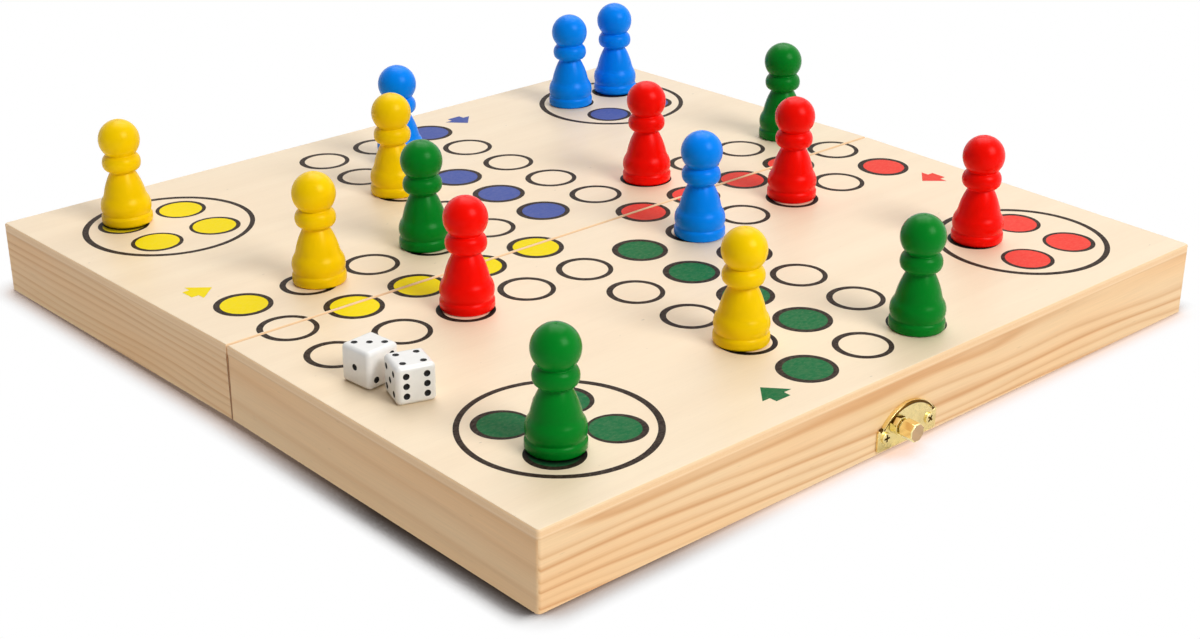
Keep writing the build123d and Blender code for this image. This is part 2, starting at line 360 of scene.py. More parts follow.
def softened(node, width_mm, segments):
    """A copy of a CAD node with its sharp edges broken, as tumbling and plating leave them."""
    bm = welded(node)
    bmesh.ops.dissolve_limit(
        bm, angle_limit=math.radians(1), verts=bm.verts, edges=bm.edges, delimit={"SHARP"}
    )
    mesh = mesh_from(bm, node)

    def bevel(holder):
        breaking = holder.modifiers.new("broken edges", "BEVEL")
        breaking.width = width_mm * MM
        breaking.segments = segments
        breaking.limit_method = "ANGLE"
        breaking.angle_limit = math.radians(metal_crease_degrees)
        breaking.use_clamp_overlap = True

    return baked(mesh, bevel)


# Geometry Nodes ----------------------------------------------------------------------------------


def add(tree, kind, links=None, values=None, **settings):
    """Add a node with its settings, its sockets' values and the links into it."""
    node = tree.nodes.new(kind)
    for name, value in settings.items():
        setattr(node, name, value)
    for socket, value in (values or {}).items():
        node.inputs[socket].default_value = value
    for socket, source in (links or {}).items():
        tree.links.new(source, node.inputs[socket])
    return node


def new_tree(name, inputs):
    """A Geometry Nodes tree with a geometry input, named inputs and a geometry output."""
    tree = bpy.data.node_groups.new(name, "GeometryNodeTree")
    tree.interface.new_socket("Geometry", in_out="INPUT", socket_type="NodeSocketGeometry")
    for label, kind in inputs:
        tree.interface.new_socket(label, in_out="INPUT", socket_type=kind)
    tree.interface.new_socket("Geometry", in_out="OUTPUT", socket_type="NodeSocketGeometry")
    entry = tree.nodes.new("NodeGroupInput")
    return tree, entry


def end_tree(tree, entry, instances, where=None):
    """Close a tree: make its instances real, and give them or some of their faces the material."""
    real = add(tree, "GeometryNodeRealizeInstances", {"Geometry": instances})
    dressed = add(
        tree, "GeometryNodeSetMaterial",
        {"Geometry": real.outputs["Geometry"], "Material": entry.outputs["Material"]},
    )
    if where is not None:
        tree.links.new(where, dressed.inputs["Selection"])
    add(tree, "NodeGroupOutput", {"Geometry": dressed.outputs["Geometry"]})


def grown(points, tree, values):
    """What a tree makes on the given points, as a plain mesh."""
    mesh = bpy.data.meshes.new("points")
    mesh.from_pydata([tuple(p) for p in points], [], [])

    def build(holder):
        modifier = holder.modifiers.new("made", "NODES")
        modifier.node_group = tree
        for item in tree.interface.items_tree:
            if item.in_out == "INPUT" and item.name in values:
                modifier[item.identifier] = values[item.name]

    return baked(mesh, build)


def printed_ring_tree():
    """Ink rings on points: a disc of ink less a smaller one that is a little off its middle."""
    tree, entry = new_tree(
        "printed_rings",
        [
            ("Radius", "NodeSocketFloat"),
            ("Line Width", "NodeSocketFloat"),
            ("Ink Thickness", "NodeSocketFloat"),
            ("Off Register", "NodeSocketVector"),
            ("Segments", "NodeSocketInt"),
            ("Material", "NodeSocketMaterial"),
        ],
    )
    inner = add(
        tree, "ShaderNodeMath",
        {0: entry.outputs["Radius"], 1: entry.outputs["Line Width"]},
        operation="SUBTRACT",
    )
    deeper = add(
        tree, "ShaderNodeMath", {0: entry.outputs["Ink Thickness"]}, {1: 3.0},
        operation="MULTIPLY",
    )
    outside, inside = (
        add(
            tree, "GeometryNodeMeshCylinder",
            {"Vertices": entry.outputs["Segments"], "Radius": radius, "Depth": depth},
        )
        for radius, depth in (
            (entry.outputs["Radius"], entry.outputs["Ink Thickness"]),
            (inner.outputs[0], deeper.outputs[0]),
        )
    )
    shifted = add(
        tree, "GeometryNodeTransform",
        {"Geometry": inside.outputs["Mesh"], "Translation": entry.outputs["Off Register"]},
    )
    ring = add(
        tree, "GeometryNodeMeshBoolean",
        {"Mesh 1": outside.outputs["Mesh"], "Mesh 2": shifted.outputs["Geometry"]},
        operation="DIFFERENCE",
    )
    placed = add(
        tree, "GeometryNodeInstanceOnPoints",
        {"Points": entry.outputs["Geometry"], "Instance": ring.outputs["Mesh"]},
    )
    end_tree(tree, entry, placed.outputs["Instances"])
    return tree


def printed_spot_tree():
    """Round spots on points: of ink, and of painted shade in the catch plates' notches."""
    tree, entry = new_tree(
        "printed_spots",
        [
            ("Radius", "NodeSocketFloat"),
            ("Ink Thickness", "NodeSocketFloat"),
            ("Segments", "NodeSocketInt"),
            ("Material", "NodeSocketMaterial"),
        ],
    )
    spot = add(
        tree, "GeometryNodeMeshCylinder",
        {
            "Vertices": entry.outputs["Segments"],
            "Radius": entry.outputs["Radius"],
            "Depth": entry.outputs["Ink Thickness"],
        },
    )
    placed = add(
        tree, "GeometryNodeInstanceOnPoints",
        {"Points": entry.outputs["Geometry"], "Instance": spot.outputs["Mesh"]},
    )
    end_tree(tree, entry, placed.outputs["Instances"])
    return tree


def screw_row_tree():
    """A set of like screws, each turned a little further round than the one before."""
    tree, entry = new_tree(
        "screw_row",
        [
            ("Screw", "NodeSocketObject"),
            ("Turn", "NodeSocketFloat"),
            ("Material", "NodeSocketMaterial"),
        ],
    )
    screw = add(tree, "GeometryNodeObjectInfo", {"Object": entry.outputs["Screw"]})
    index = add(tree, "GeometryNodeInputIndex")
    angle = add(
        tree, "ShaderNodeMath",
        {0: index.outputs["Index"], 1: entry.outputs["Turn"]},
        operation="MULTIPLY",
    )
    turn = add(tree, "ShaderNodeCombineXYZ", {"Z": angle.outputs[0]})
    placed = add(
        tree, "GeometryNodeInstanceOnPoints",
        {
            "Points": entry.outputs["Geometry"],
            "Instance": screw.outputs["Geometry"],
            "Rotation": turn.outputs[0],
        },
    )
    own = add(tree, "GeometryNodeInputMaterialIndex")
    body = add(
        tree, "FunctionNodeCompare", {"A": own.outputs["Material Index"]},
        {"B": 0}, data_type="INT", operation="EQUAL",
    )
    end_tree(tree, entry, placed.outputs["Instances"], body.outputs["Result"])
    return tree


def swelling_line_tree():
    """A round line along an arc through three points, thin at its ends and thick at its top."""
    tree, entry = new_tree(
        "swelling_line",
        [
            ("Start", "NodeSocketVector"),
            ("Top", "NodeSocketVector"),
            ("End", "NodeSocketVector"),
            ("Thin", "NodeSocketFloat"),
            ("Thick", "NodeSocketFloat"),
            ("Material", "NodeSocketMaterial"),
        ],
    )
    arc = add(
        tree, "GeometryNodeCurveArc",
        {
            "Start": entry.outputs["Start"],
            "Middle": entry.outputs["Top"],
            "End": entry.outputs["End"],
        },
        {"Resolution": 48}, mode="POINTS",
    )
    along = add(tree, "GeometryNodeSplineParameter")
    turn = add(
        tree, "ShaderNodeMath", {0: along.outputs["Factor"]}, {1: math.pi}, operation="MULTIPLY"
    )
    swell = add(tree, "ShaderNodeMath", {0: turn.outputs[0]}, operation="SINE")
    radius = add(
        tree, "ShaderNodeMath",
        {0: swell.outputs[0], 1: entry.outputs["Thick"], 2: entry.outputs["Thin"]},
        operation="MULTIPLY_ADD",
    )
    profile = add(
        tree, "GeometryNodeCurvePrimitiveCircle", values={"Resolution": 12, "Radius": 1.0}
    )
    swept = add(
        tree, "GeometryNodeCurveToMesh",
        {
            "Curve": arc.outputs["Curve"],
            "Profile Curve": profile.outputs["Curve"],
            "Scale": radius.outputs[0],
        },
        {"Fill Caps": True},
    )
    placed = add(
        tree, "GeometryNodeInstanceOnPoints",
        {"Points": entry.outputs["Geometry"], "Instance": swept.outputs["Mesh"]},
    )
    end_tree(tree, entry, placed.outputs["Instances"])
    return tree


# Materials ---------------------------------------------------------------------------------------


def new_material(name):
    """An empty node material and its tree."""
    material = bpy.data.materials.new(name)
    material.use_nodes = True
    material.node_tree.nodes.clear()
    return material, material.node_tree


def close_material(tree, shader):
    """Connect the finished shader to the material's output."""
    add(tree, "ShaderNodeOutputMaterial", {"Surface": shader.outputs[0]})


def flat_place(tree, side, turn=0.0, seed=(0, 0, 0)):
    """The point in millimetres in a half's flat frame, turned about Z and moved by a seed."""
    rotation = Matrix.Rotation(turn, 3, "Z") @ Matrix.Rotation(side * tilt, 3, "X")
    shift = Vector(seed) - rotation @ Vector((0, 0, knuckle_radius_mm))
    place = add(tree, "ShaderNodeTexCoord")
    mapping = add(
        tree, "ShaderNodeMapping",
        {"Vector": place.outputs["Object"]},
        {"Location": shift, "Rotation": (side * tilt, 0, turn), "Scale": (1000, 1000, 1000)},
    )
    return mapping.outputs["Vector"]


def stretched_noise(tree, place, period_mm, detail=2.0, roughness=0.5):
    """Noise whose blotches have the given size in millimetres along each axis."""
    scaled = add(
        tree, "ShaderNodeVectorMath", {0: place}, {1: tuple(1 / p for p in period_mm)},
        operation="MULTIPLY",
    )
    return add(
        tree, "ShaderNodeTexNoise",
        {"Vector": scaled.outputs[0]},
        {"Scale": 1.0, "Detail": detail, "Roughness": roughness},
    )


def mixed(tree, factor, first, second, blend="MIX"):
    """A colour mix. Factor and colours are sockets or plain values."""
    node = add(tree, "ShaderNodeMix", data_type="RGBA", blend_type=blend, clamp_factor=True)
    for socket, value in ((0, factor), (6, first), (7, second)):
        if isinstance(value, bpy.types.NodeSocket):
            tree.links.new(value, node.inputs[socket])
        else:
            node.inputs[socket].default_value = value
    return node.outputs[2]


def ramped(tree, source, stops, interpolation="LINEAR"):
    """A colour ramp over the source with stops of (position, value or colour)."""
    node = add(tree, "ShaderNodeValToRGB", {"Fac": source})
    node.color_ramp.interpolation = interpolation
    elements = node.color_ramp.elements
    while len(elements) < len(stops):
        elements.new(0.5)
    for element, (position, value) in zip(elements, stops):
        element.position = position
        element.color = value if isinstance(value, tuple) else (value, value, value, 1.0)
    return node.outputs["Color"]


def pine(name, side, turn, seed, spacing, depth, settings):
    """Sanded pine under a thin clear coat: soft honey lines of late wood along the piece.

    Spacing and depth scale the distance between the lines and how strong they are.
    """
    material, tree = new_material(name)
    place = flat_place(tree, side, turn, seed)
    # The lines waver slowly along the length and a little across it.
    waver = stretched_noise(tree, place, (170.0, 24.0, 24.0), detail=2.0)
    centred = add(
        tree, "ShaderNodeVectorMath", {0: waver.outputs["Color"]}, {1: (0.5, 0.5, 0.5)},
        operation="SUBTRACT",
    )
    pushed = add(
        tree, "ShaderNodeVectorMath", {0: centred.outputs[0], 2: place}, {1: (0.0, 7.0, 7.0)},
        operation="MULTIPLY_ADD",
    )
    # Growth rings around a pith that runs beside the board and slightly askew to it.
    skewed = add(tree, "ShaderNodeSeparateXYZ", {"Vector": pushed.outputs[0]})
    drift = add(
        tree, "ShaderNodeMath", {0: skewed.outputs["X"]}, {1: settings.grain_drift},
        operation="MULTIPLY",
    )
    lifted = add(
        tree, "ShaderNodeMath", {0: skewed.outputs["Z"], 1: drift.outputs[0]}, operation="ADD"
    )
    across = add(tree, "ShaderNodeCombineXYZ", {"Y": skewed.outputs["Y"], "Z": lifted.outputs[0]})
    distance = add(tree, "ShaderNodeVectorMath", {0: across.outputs[0]}, operation="LENGTH")
    rings = add(
        tree, "ShaderNodeMath", {0: distance.outputs["Value"]},
        {1: MM / (settings.ring_spacing * spacing)}, operation="MULTIPLY",
    )
    within = add(tree, "ShaderNodeMath", {0: rings.outputs[0]}, operation="FRACT")
    number = add(tree, "ShaderNodeMath", {0: rings.outputs[0]}, operation="FLOOR")
    year = add(tree, "ShaderNodeTexWhiteNoise", {"W": number.outputs[0]}, noise_dimensions="1D")
    late = ramped(
        tree, within.outputs[0],
        [(0.0, 0.12), (0.15, 0.0), (0.4, 0.1), (0.62, 0.5), (0.8, 1.0), (1.0, 0.12)],
        "EASE",
    )
    strength = add(
        tree, "ShaderNodeMapRange", {"Value": year.outputs["Value"]},
        {"To Min": 0.25 * depth, "To Max": depth},
    )
    line = add(tree, "ShaderNodeMath", {0: late, 1: strength.outputs[0]}, operation="MULTIPLY")
    base = mixed(tree, line.outputs[0], tuple(settings.pine_early), tuple(settings.pine_late))
    # Broad paler and warmer stretches of the board.
    cloud = stretched_noise(tree, place, (90.0, 18.0, 18.0), detail=1.0)
    warm = ramped(tree, cloud.outputs["Fac"], [(0.3, 0.0), (0.7, 0.45)])
    base = mixed(tree, warm, base, tuple(settings.pine_warm), "MULTIPLY")
    # Fibres: real ones are about 0.03 mm wide, drawn at 0.5 mm so that they show.
    fibres = stretched_noise(tree, place, (22.0, 0.5, 0.5), detail=3.0, roughness=0.6)
    fibre = ramped(tree, fibres.outputs["Fac"], [(0.3, 0.86), (0.7, 1.0)])
    base = mixed(tree, 0.6, base, fibre, "MULTIPLY")
    # Painted shade: the gap at the fold is drawn as a brown line 0.4 mm wide down the side walls.
    if turn:
        edge = add(tree, "ShaderNodeSeparateXYZ", {"Vector": flat_place(tree, side)})
        from_fold = add(tree, "ShaderNodeMath", {0: edge.outputs["Y"]}, operation="ABSOLUTE")
        fold_gap_shade = add(
            tree, "ShaderNodeMapRange", {"Value": from_fold.outputs[0]},
            {"From Min": 0.45, "From Max": 0.3},
        )
        base = mixed(tree, fold_gap_shade.outputs[0], base, tuple(settings.fold_gap_shade_colour))
    # A few short resin ducts.
    ducts = stretched_noise(tree, place, (5.0, 0.45, 0.45), detail=0.0)
    duct = ramped(tree, ducts.outputs["Fac"], [(0.80, 1.0), (0.88, 0.8)])
    base = mixed(tree, 0.8, base, duct, "MULTIPLY")
    grain = add(
        tree, "ShaderNodeMath", {0: fibres.outputs["Fac"], 1: line.outputs[0]}, operation="ADD"
    )
    bump = add(
        tree, "ShaderNodeBump", {"Height": grain.outputs[0]},
        {"Strength": 0.25, "Distance": 0.00006},
    )
    sheen = add(
        tree, "ShaderNodeMapRange", {"Value": fibres.outputs["Fac"]},
        {"To Min": 0.42, "To Max": 0.6},
    )
    shader = add(
        tree, "ShaderNodeBsdfPrincipled",
        {"Base Color": base, "Roughness": sheen.outputs[0], "Normal": bump.outputs["Normal"]},
        {"IOR": 1.5, "Coat Weight": 0.12, "Coat Roughness": 0.4},
    )
    close_material(tree, shader)
    return material


def veneer_colour(tree, place, settings):
    """The colour of the pale printed face: creamy, with faint long figure and short flecks."""
    figure = stretched_noise(tree, place, (130.0, 9.0, 9.0), detail=2.0, roughness=0.55)
    tone = ramped(tree, figure.outputs["Fac"], [(0.25, 0.0), (0.75, 1.0)])
    base = mixed(tree, tone, tuple(settings.veneer_light), tuple(settings.veneer_deep))
    flecks = stretched_noise(tree, place, (7.0, 0.45, 0.45), detail=2.0, roughness=0.6)
    fleck = ramped(tree, flecks.outputs["Fac"], [(0.35, 0.975), (0.6, 1.0)])
    base = mixed(tree, 0.8, base, fleck, "MULTIPLY")
    specks = stretched_noise(tree, place, (2.6, 1.0, 1.0), detail=0.0)
    speck = ramped(tree, specks.outputs["Fac"], [(0.86, 1.0), (0.90, 0.75)])
    return mixed(tree, 1.0, base, speck, "MULTIPLY"), flecks


def plywood(name, side, settings):
    """Three-ply basswood, sealed satin: a pale calm face, with its plies showing at the edges."""
    material, tree = new_material(name)
    place = flat_place(tree, side)
    face, flecks = veneer_colour(tree, place, settings)
    # Below the face the edge shows long-grain skins around a core cut across its fibres.
    split = add(tree, "ShaderNodeSeparateXYZ", {"Vector": place})
    depth = add(
        tree, "ShaderNodeMapRange", {"Value": split.outputs["Z"]},
        {"From Min": half_depth_mm, "From Max": half_depth_mm - panel_thickness_mm},
    )
    ply = ramped(
        tree, depth.outputs[0],
        [(0.0, 0.0), (0.29, 0.0), (0.33, 1.0), (0.68, 1.0), (0.72, 0.0)],
    )
    core_grain = stretched_noise(tree, place, (0.7, 0.7, 0.35), detail=2.0, roughness=0.7)
    core = mixed(
        tree, core_grain.outputs["Fac"], tuple(settings.core_light), tuple(settings.core_dark)
    )
    streaks = stretched_noise(tree, place, (30.0, 30.0, 0.5), detail=2.0)
    skin = mixed(
        tree, streaks.outputs["Fac"], tuple(settings.skin_light), tuple(settings.skin_dark)
    )
    edge = mixed(tree, ply, skin, core)
    # The glue line over the wall: real ones are 0.1 mm thick, drawn soft over 0.6 mm.
    glue = ramped(tree, depth.outputs[0], [(0.8, 0.0), (1.0, 1.0)])
    edge = mixed(tree, glue, edge, tuple(settings.glue_line))
    below = add(
        tree, "ShaderNodeMapRange", {"Value": depth.outputs[0]},
        {"From Min": 0.004, "From Max": 0.05},
    )
    base = mixed(tree, below.outputs[0], face, edge)
    bump = add(
        tree, "ShaderNodeBump", {"Height": flecks.outputs["Fac"]},
        {"Strength": 0.15, "Distance": 0.00004},
    )
    shader = add(
        tree, "ShaderNodeBsdfPrincipled", {"Base Color": base, "Normal": bump.outputs["Normal"]},
        {"IOR": 1.5, "Roughness": 0.45, "Coat Weight": 0.15, "Coat Roughness": 0.35},
    )
    close_material(tree, shader)
    return material


def screen_ink(name, side, colour, coverage, settings):
    """Screen-printed ink on veneer: flat and even, thin enough that the flecks show through, with
    painted shade beside the pawns' feet.
    """
    material, tree = new_material(name)
    place = flat_place(tree, side)
    wood, flecks = veneer_colour(tree, place, settings)
    # Pinholes where the mesh of the screen left the fibres bare: drawn at 0.5 mm.
    pinholes = stretched_noise(tree, place, (0.9, 0.5, 0.5), detail=1.0)
    open_fibre = ramped(tree, pinholes.outputs["Fac"], [(0.62, 1.0), (0.76, 0.93)])
    streaks = stretched_noise(tree, place, (1.6, 1.1, 1.1), detail=3.0)
    thin = ramped(tree, streaks.outputs["Fac"], [(0.30, 0.96), (0.65, 1.0)])
    cover = add(tree, "ShaderNodeMath", {0: open_fibre, 1: thin}, operation="MULTIPLY")
    laid = add(tree, "ShaderNodeMath", {0: cover.outputs[0]}, {1: coverage}, operation="MULTIPLY")
    base = mixed(tree, laid.outputs[0], wood, tuple(colour))
    # Painted shade: the ink darkens within ambient occlusion's reach of a pawn's rounded foot, where
    # the narrow gap under it swallows the light.
    gap = add(tree, "ShaderNodeAmbientOcclusion", values={"Distance": 0.006}, samples=8)
    gap_shade = ramped(tree, gap.outputs["AO"], [(0.6, 0.02), (0.88, 1.0)])
    base = mixed(tree, 1.0, base, gap_shade, "MULTIPLY")
    bump = add(
        tree, "ShaderNodeBump", {"Height": flecks.outputs["Fac"]},
        {"Strength": 0.15, "Distance": 0.00004},
    )
    shader = add(
        tree, "ShaderNodeBsdfPrincipled", {"Base Color": base, "Normal": bump.outputs["Normal"]},
        {"IOR": 1.45, "Specular IOR Level": 0.1, "Roughness": 0.55},
    )
    close_material(tree, shader)
    return material


def lacquer(name, colour, settings):
    """Thick nitrocellulose lacquer over turned beech: deep even colour under a soft gloss."""
    material, tree = new_material(name)
    place = flat_place(tree, FAR)
    # The brushed build of the lacquer: faint turning marks 0.8 mm apart and slow unevenness.
    marks = stretched_noise(tree, place, (60.0, 60.0, 0.8), detail=1.0)
    pools = stretched_noise(tree, place, (6.0, 6.0, 6.0), detail=1.0)
    deeper = ramped(tree, pools.outputs["Fac"], [(0.3, 0.9), (0.7, 1.0)])
    base = mixed(tree, 0.6, tuple(colour), deeper, "MULTIPLY")
    height = add(
        tree, "ShaderNodeMath", {0: marks.outputs["Fac"], 1: pools.outputs["Fac"]}, operation="ADD"
    )
    bump = add(
        tree, "ShaderNodeBump", {"Height": height.outputs[0]},
        {"Strength": 0.35, "Distance": 0.00006},
    )
    # Pigment lies close under the surface, so the shine is tinted by it.
    tint = tuple(0.75 * c + 0.25 for c in tuple(colour)[:3]) + (1.0,)
    shader = add(
        tree, "ShaderNodeBsdfPrincipled", {"Base Color": base, "Normal": bump.outputs["Normal"]},
        {
            "IOR": 1.4,
            "Specular IOR Level": 0.35,
            "Specular Tint": tint,
            "Roughness": settings.lacquer_roughness,
        },
    )
    close_material(tree, shader)
    return material


def brass_plating(name, colour, roughness, tarnish=None, reach_mm=1.0):
    """Bright brass plating on pressed steel: a soft uneven shine, with painted shade browning it in
    its corners.
    """
    material, tree = new_material(name)
    place = flat_place(tree, FAR)
    clouds = stretched_noise(tree, place, (2.5, 2.5, 2.5), detail=2.0)
    scratches = stretched_noise(tree, place, (3.0, 0.25, 0.25), detail=2.0)
    tint = ramped(tree, clouds.outputs["Fac"], [(0.3, 0.86), (0.7, 1.0)])
    base = mixed(tree, 0.7, tuple(colour), tint, "MULTIPLY")
    if tarnish is not None:
        # Painted shade: the brass is browned within a reach of a corner, as ambient occlusion finds
        # it.
        corner = add(
            tree, "ShaderNodeAmbientOcclusion", values={"Distance": reach_mm * MM}, samples=8
        )
        painted_corner_shade = ramped(tree, corner.outputs["AO"], [(0.15, 1.0), (0.45, 0.0)])
        base = mixed(tree, painted_corner_shade, base, tuple(tarnish))
    dull = add(
        tree, "ShaderNodeMapRange", {"Value": clouds.outputs["Fac"]},
        {"To Min": roughness * 0.8, "To Max": roughness * 1.25},
    )
    bump = add(
        tree, "ShaderNodeBump", {"Height": scratches.outputs["Fac"]},
        {"Strength": 0.2, "Distance": 0.00003},
    )
    shader = add(
        tree, "ShaderNodeBsdfPrincipled",
        {"Base Color": base, "Roughness": dull.outputs[0], "Normal": bump.outputs["Normal"]},
        {"Metallic": 1.0},
    )
    close_material(tree, shader)
    return material


def dice_plastic(name, colour):
    """Moulded and tumbled urea plastic: clean opaque white with a soft gloss."""
    material, tree = new_material(name)
    place = flat_place(tree, NEAR)
    ripple = stretched_noise(tree, place, (2.0, 2.0, 2.0), detail=1.0)
    tone = ramped(tree, ripple.outputs["Fac"], [(0.3, 0.97), (0.7, 1.0)])
    base = mixed(tree, 1.0, tuple(colour), tone, "MULTIPLY")
    bump = add(
        tree, "ShaderNodeBump", {"Height": ripple.outputs["Fac"]},
        {"Strength": 0.1, "Distance": 0.00005},
    )
    shader = add(
        tree, "ShaderNodeBsdfPrincipled", {"Base Color": base, "Normal": bump.outputs["Normal"]},
        {"IOR": 1.5, "Roughness": 0.25},
    )
    close_material(tree, shader)
    return material


def pip_paint(name, colour):
    """Black enamel wiped into the pips: dark, with a faintly rough shine."""
    material, tree = new_material(name)
    place = flat_place(tree, NEAR)
    ripple = stretched_noise(tree, place, (0.6, 0.6, 0.6), detail=1.0)
    rough = add(
        tree, "ShaderNodeMapRange", {"Value": ripple.outputs["Fac"]},
        {"To Min": 0.3, "To Max": 0.5},
    )
    shader = add(
        tree, "ShaderNodeBsdfPrincipled", {"Roughness": rough.outputs[0]},
        {"Base Color": tuple(colour), "IOR": 1.5, "Specular IOR Level": 0.2},
    )
    close_material(tree, shader)
    return material


# Settings ----------------------------------------------------------------------------------------


class BoardWoodSettings(bpy.types.PropertyGroup):
    """Colours and grain of the panels and the walls."""

    veneer_light: colour_property("Veneer light", "Lightest wood of the printed faces", "#F6E1C2")
    veneer_deep: colour_property("Veneer deep", "Deepest wood of the printed faces", "#F1DABA")
    skin_light: colour_property("Ply skin light", "Outer plies at the panel's edges", "#F3D0A6")
    skin_dark: colour_property("Ply skin dark", "Streaks in the outer plies' edges", "#EAC28F")
    core_light: colour_property("Ply core light", "Core ply at the panel's edges", "#F2CD9F")
    core_dark: colour_property("Ply core dark", "Cut fibres of the core ply", "#E6BB86")
    glue_line: colour_property("Glue line", "Glue between the panel and its walls", "#DDAF7C")
    pine_early: colour_property("Pine early wood", "Pale wood between the lines", "#EFCB9B")
    pine_late: colour_property("Pine late wood", "Honey-brown lines", "#CB8B4A")
    pine_warm: colour_property("Pine warmth", "Tint of the warmer stretches", "#FFE3BE")
    # Painted shade of the narrow gap between the halves at the fold.
    fold_gap_shade_colour: colour_property("Fold gap shade", "Painted shade of the gap at the fold", "#84480C")
    ring_spacing: length_property("Ring spacing", "Distance between growth rings", 3.2)
    grain_drift: FloatProperty(
        name="Grain drift", description="How far the lines climb along the board, as a slope",
        default=0.022, min=-0.2, max=0.2,
    )


class PrintSettings(bpy.types.PropertyGroup):
    """Inks and sizes of the printed game."""

    black_ink: colour_property("Line ink", "Ink of the rings and circles", "#20110A")
    yellow_ink: colour_property("Yellow ink", "Ink of the yellow spots", "#F5DC00")
    blue_ink: colour_property("Blue ink", "Ink of the blue spots", "#48599F")
    green_ink: colour_property("Green ink", "Ink of the green spots", "#006636")
    red_ink: colour_property("Red ink", "Ink of the red spots", "#EE453A")
    ring_radius: length_property("Ring radius", "Outside radius of a cell's ring", 9.45)
    ring_line: length_property("Ring line", "Line width of a cell's ring", 1.85)
    group_radius: length_property("Corner circle radius", "Outside radius of a corner circle", 29.6)
    group_line: length_property("Corner circle line", "Line width of a corner circle", 1.95)
    group_spot_radius: length_property("Corner spot radius", "Outside radius of a corner spot", 8.85)
    group_spot_line: length_property("Corner spot line", "Line width around a corner spot", 1.35)
    ink_thickness: length_property("Ink thickness", "Height of the ink over the wood", 0.04)
    off_register: length_property("Off register", "Shift between a ring's two edges", 0.2)


class PieceSettings(bpy.types.PropertyGroup):
    """Colours and finish of the pawns and the dice."""

    yellow: colour_property("Yellow pawns", "Lacquer of the yellow pawns", "#FFD200")
    blue: colour_property("Blue pawns", "Lacquer of the blue pawns", "#008AFF")
    green: colour_property("Green pawns", "Lacquer of the green pawns", "#007C20")
    red: colour_property("Red pawns", "Lacquer of the red pawns", "#FF0C00")
    dice: colour_property("Dice", "Plastic of the dice", "#F4F2EE")
    pips: colour_property("Pips", "Paint in the pips", "#0A0809")
    lacquer_roughness: FloatProperty(
        name="Lacquer roughness", description="How soft the lacquer's shine is", subtype="FACTOR",
        default=0.27, min=0, max=1,
    )
    pawn_segments: IntProperty(
        name="Pawn segments", description="Faces around a pawn", default=72, min=12, max=256
    )


class BrassSettings(bpy.types.PropertyGroup):
    """Colour, finish and edges of the metal fittings."""

    plating: colour_property("Plating", "Brass plating", "#F4E2A4")
    polished: colour_property("Polished brass", "Brass of the studs", "#FFF3B4")
    # Painted shade: the brown of the brass's corners, the screws' cross recesses, the line inside
    # each bead and the plates' notches.
    tarnish: colour_property("Tarnish", "Browned brass in grooves and recesses", "#634312")
    sawn_end: colour_property("Sawn end", "Bare sawn end of a stud", "#C9AA86")
    roughness: FloatProperty(
        name="Plating roughness", description="How soft the plating's shine is", subtype="FACTOR",
        default=0.26, min=0, max=1,
    )
    broken_edge: length_property("Broken edge", "Width of the broken edges", 0.16)


class StageSettings(bpy.types.PropertyGroup):
    """Camera, lamps and floor."""

    azimuth: FloatProperty(
        name="Azimuth", description="Camera's turn round the board", subtype="ANGLE",
        default=math.radians(-41.7177),
    )
    elevation: FloatProperty(
        name="Elevation", description="Camera's height over the horizon", subtype="ANGLE",
        default=math.radians(23.9045),
    )
    roll: FloatProperty(
        name="Roll", description="Camera's lean", subtype="ANGLE", default=math.radians(-0.2097)
    )
    distance: length_property("Distance", "From the camera to what it looks at", 617.7)
    target: FloatVectorProperty(
        name="Target", description="Point that the camera looks at", subtype="TRANSLATION",
        unit="LENGTH", size=3, default=(-0.0489, -0.0614, 0.0271),
    )
    lens: FloatProperty(
        name="Lens", description="Focal length on a 36 mm wide sensor", default=59.895, min=1
    )
    room_light: FloatProperty(
        name="Room light", description="Strength of the even white room over the table",
        default=0.09, min=0,
    )
    table_light: FloatProperty(
        name="Table light", description="Strength of the white light that the table gives back",
        default=1.12, min=0,
    )
    front_power: FloatProperty(
        name="Front softbox", description="Power of the softbox in front of the near wall",
        unit="POWER", default=57.5, min=0,
    )
    overhead_power: FloatProperty(
        name="Overhead softbox", description="Power of the large softbox overhead",
        unit="POWER", default=197.0, min=0,
    )
    floor_white: FloatProperty(
        name="Floor white", description="How white the floor looks in the metal's shine",
        default=0.8, min=0, max=1,
    )


# Panels and walls --------------------------------------------------------------------------------


def dress(node, material):
    """Give a CAD node its finished material."""
    mesh = frame["nodes"][node].data
    mesh.materials.clear()
    mesh.materials.append(material)


class LUDO_OT_panels(bpy.types.Operator):
    """Give the two printed panels their plywood"""

    bl_idname = "ludo_box.panels"
    bl_label = "Panels"

    def execute(self, context):
        for side, name in SIDE_NAMES.items():
            material = plywood(f"basswood_plywood_{name}", side, context.scene.ludo_wood)
            dress(f"{name}_top_panel", material)
        return {"FINISHED"}


class LUDO_OT_walls(bpy.types.Operator):
    """Give the eight mitred walls their pine, each cut from its own stretch of board"""

    bl_idname = "ludo_box.walls"
    bl_label = "Walls"

    def execute(self, context):
        quarter = math.pi / 2
        # Node, half, turn, the stretch of board in millimetres, then the rings' spacing and depth
        walls = [
            ("near_outer_wall", NEAR, 0.0, (30, 172, -24), 0.6, 0.75),
            ("near_left_wall", NEAR, quarter, (410, 38, 60), 1.8, 0.5),
            ("near_right_wall", NEAR, quarter, (700, 190, 31), 0.7, 0.6),
            ("near_hinge_wall", NEAR, 0.0, (150, 44, -60), 1.3, 0.7),
            ("far_outer_wall", FAR, 0.0, (260, -188, -38), 0.65, 0.7),
            ("far_left_wall", FAR, quarter, (900, 22, 52), 0.5, 0.65),
            ("far_right_wall", FAR, quarter, (1200, 200, -45), 0.8, 0.8),
            ("far_hinge_wall", FAR, 0.0, (1500, -34, 48), 1.3, 0.7),
        ]
        for node, *cut in walls:
            dress(node, pine(f"sanded_pine_{node}", *cut, context.scene.ludo_wood))
        return {"FINISHED"}


# Print -------------------------------------------------------------------------------------------


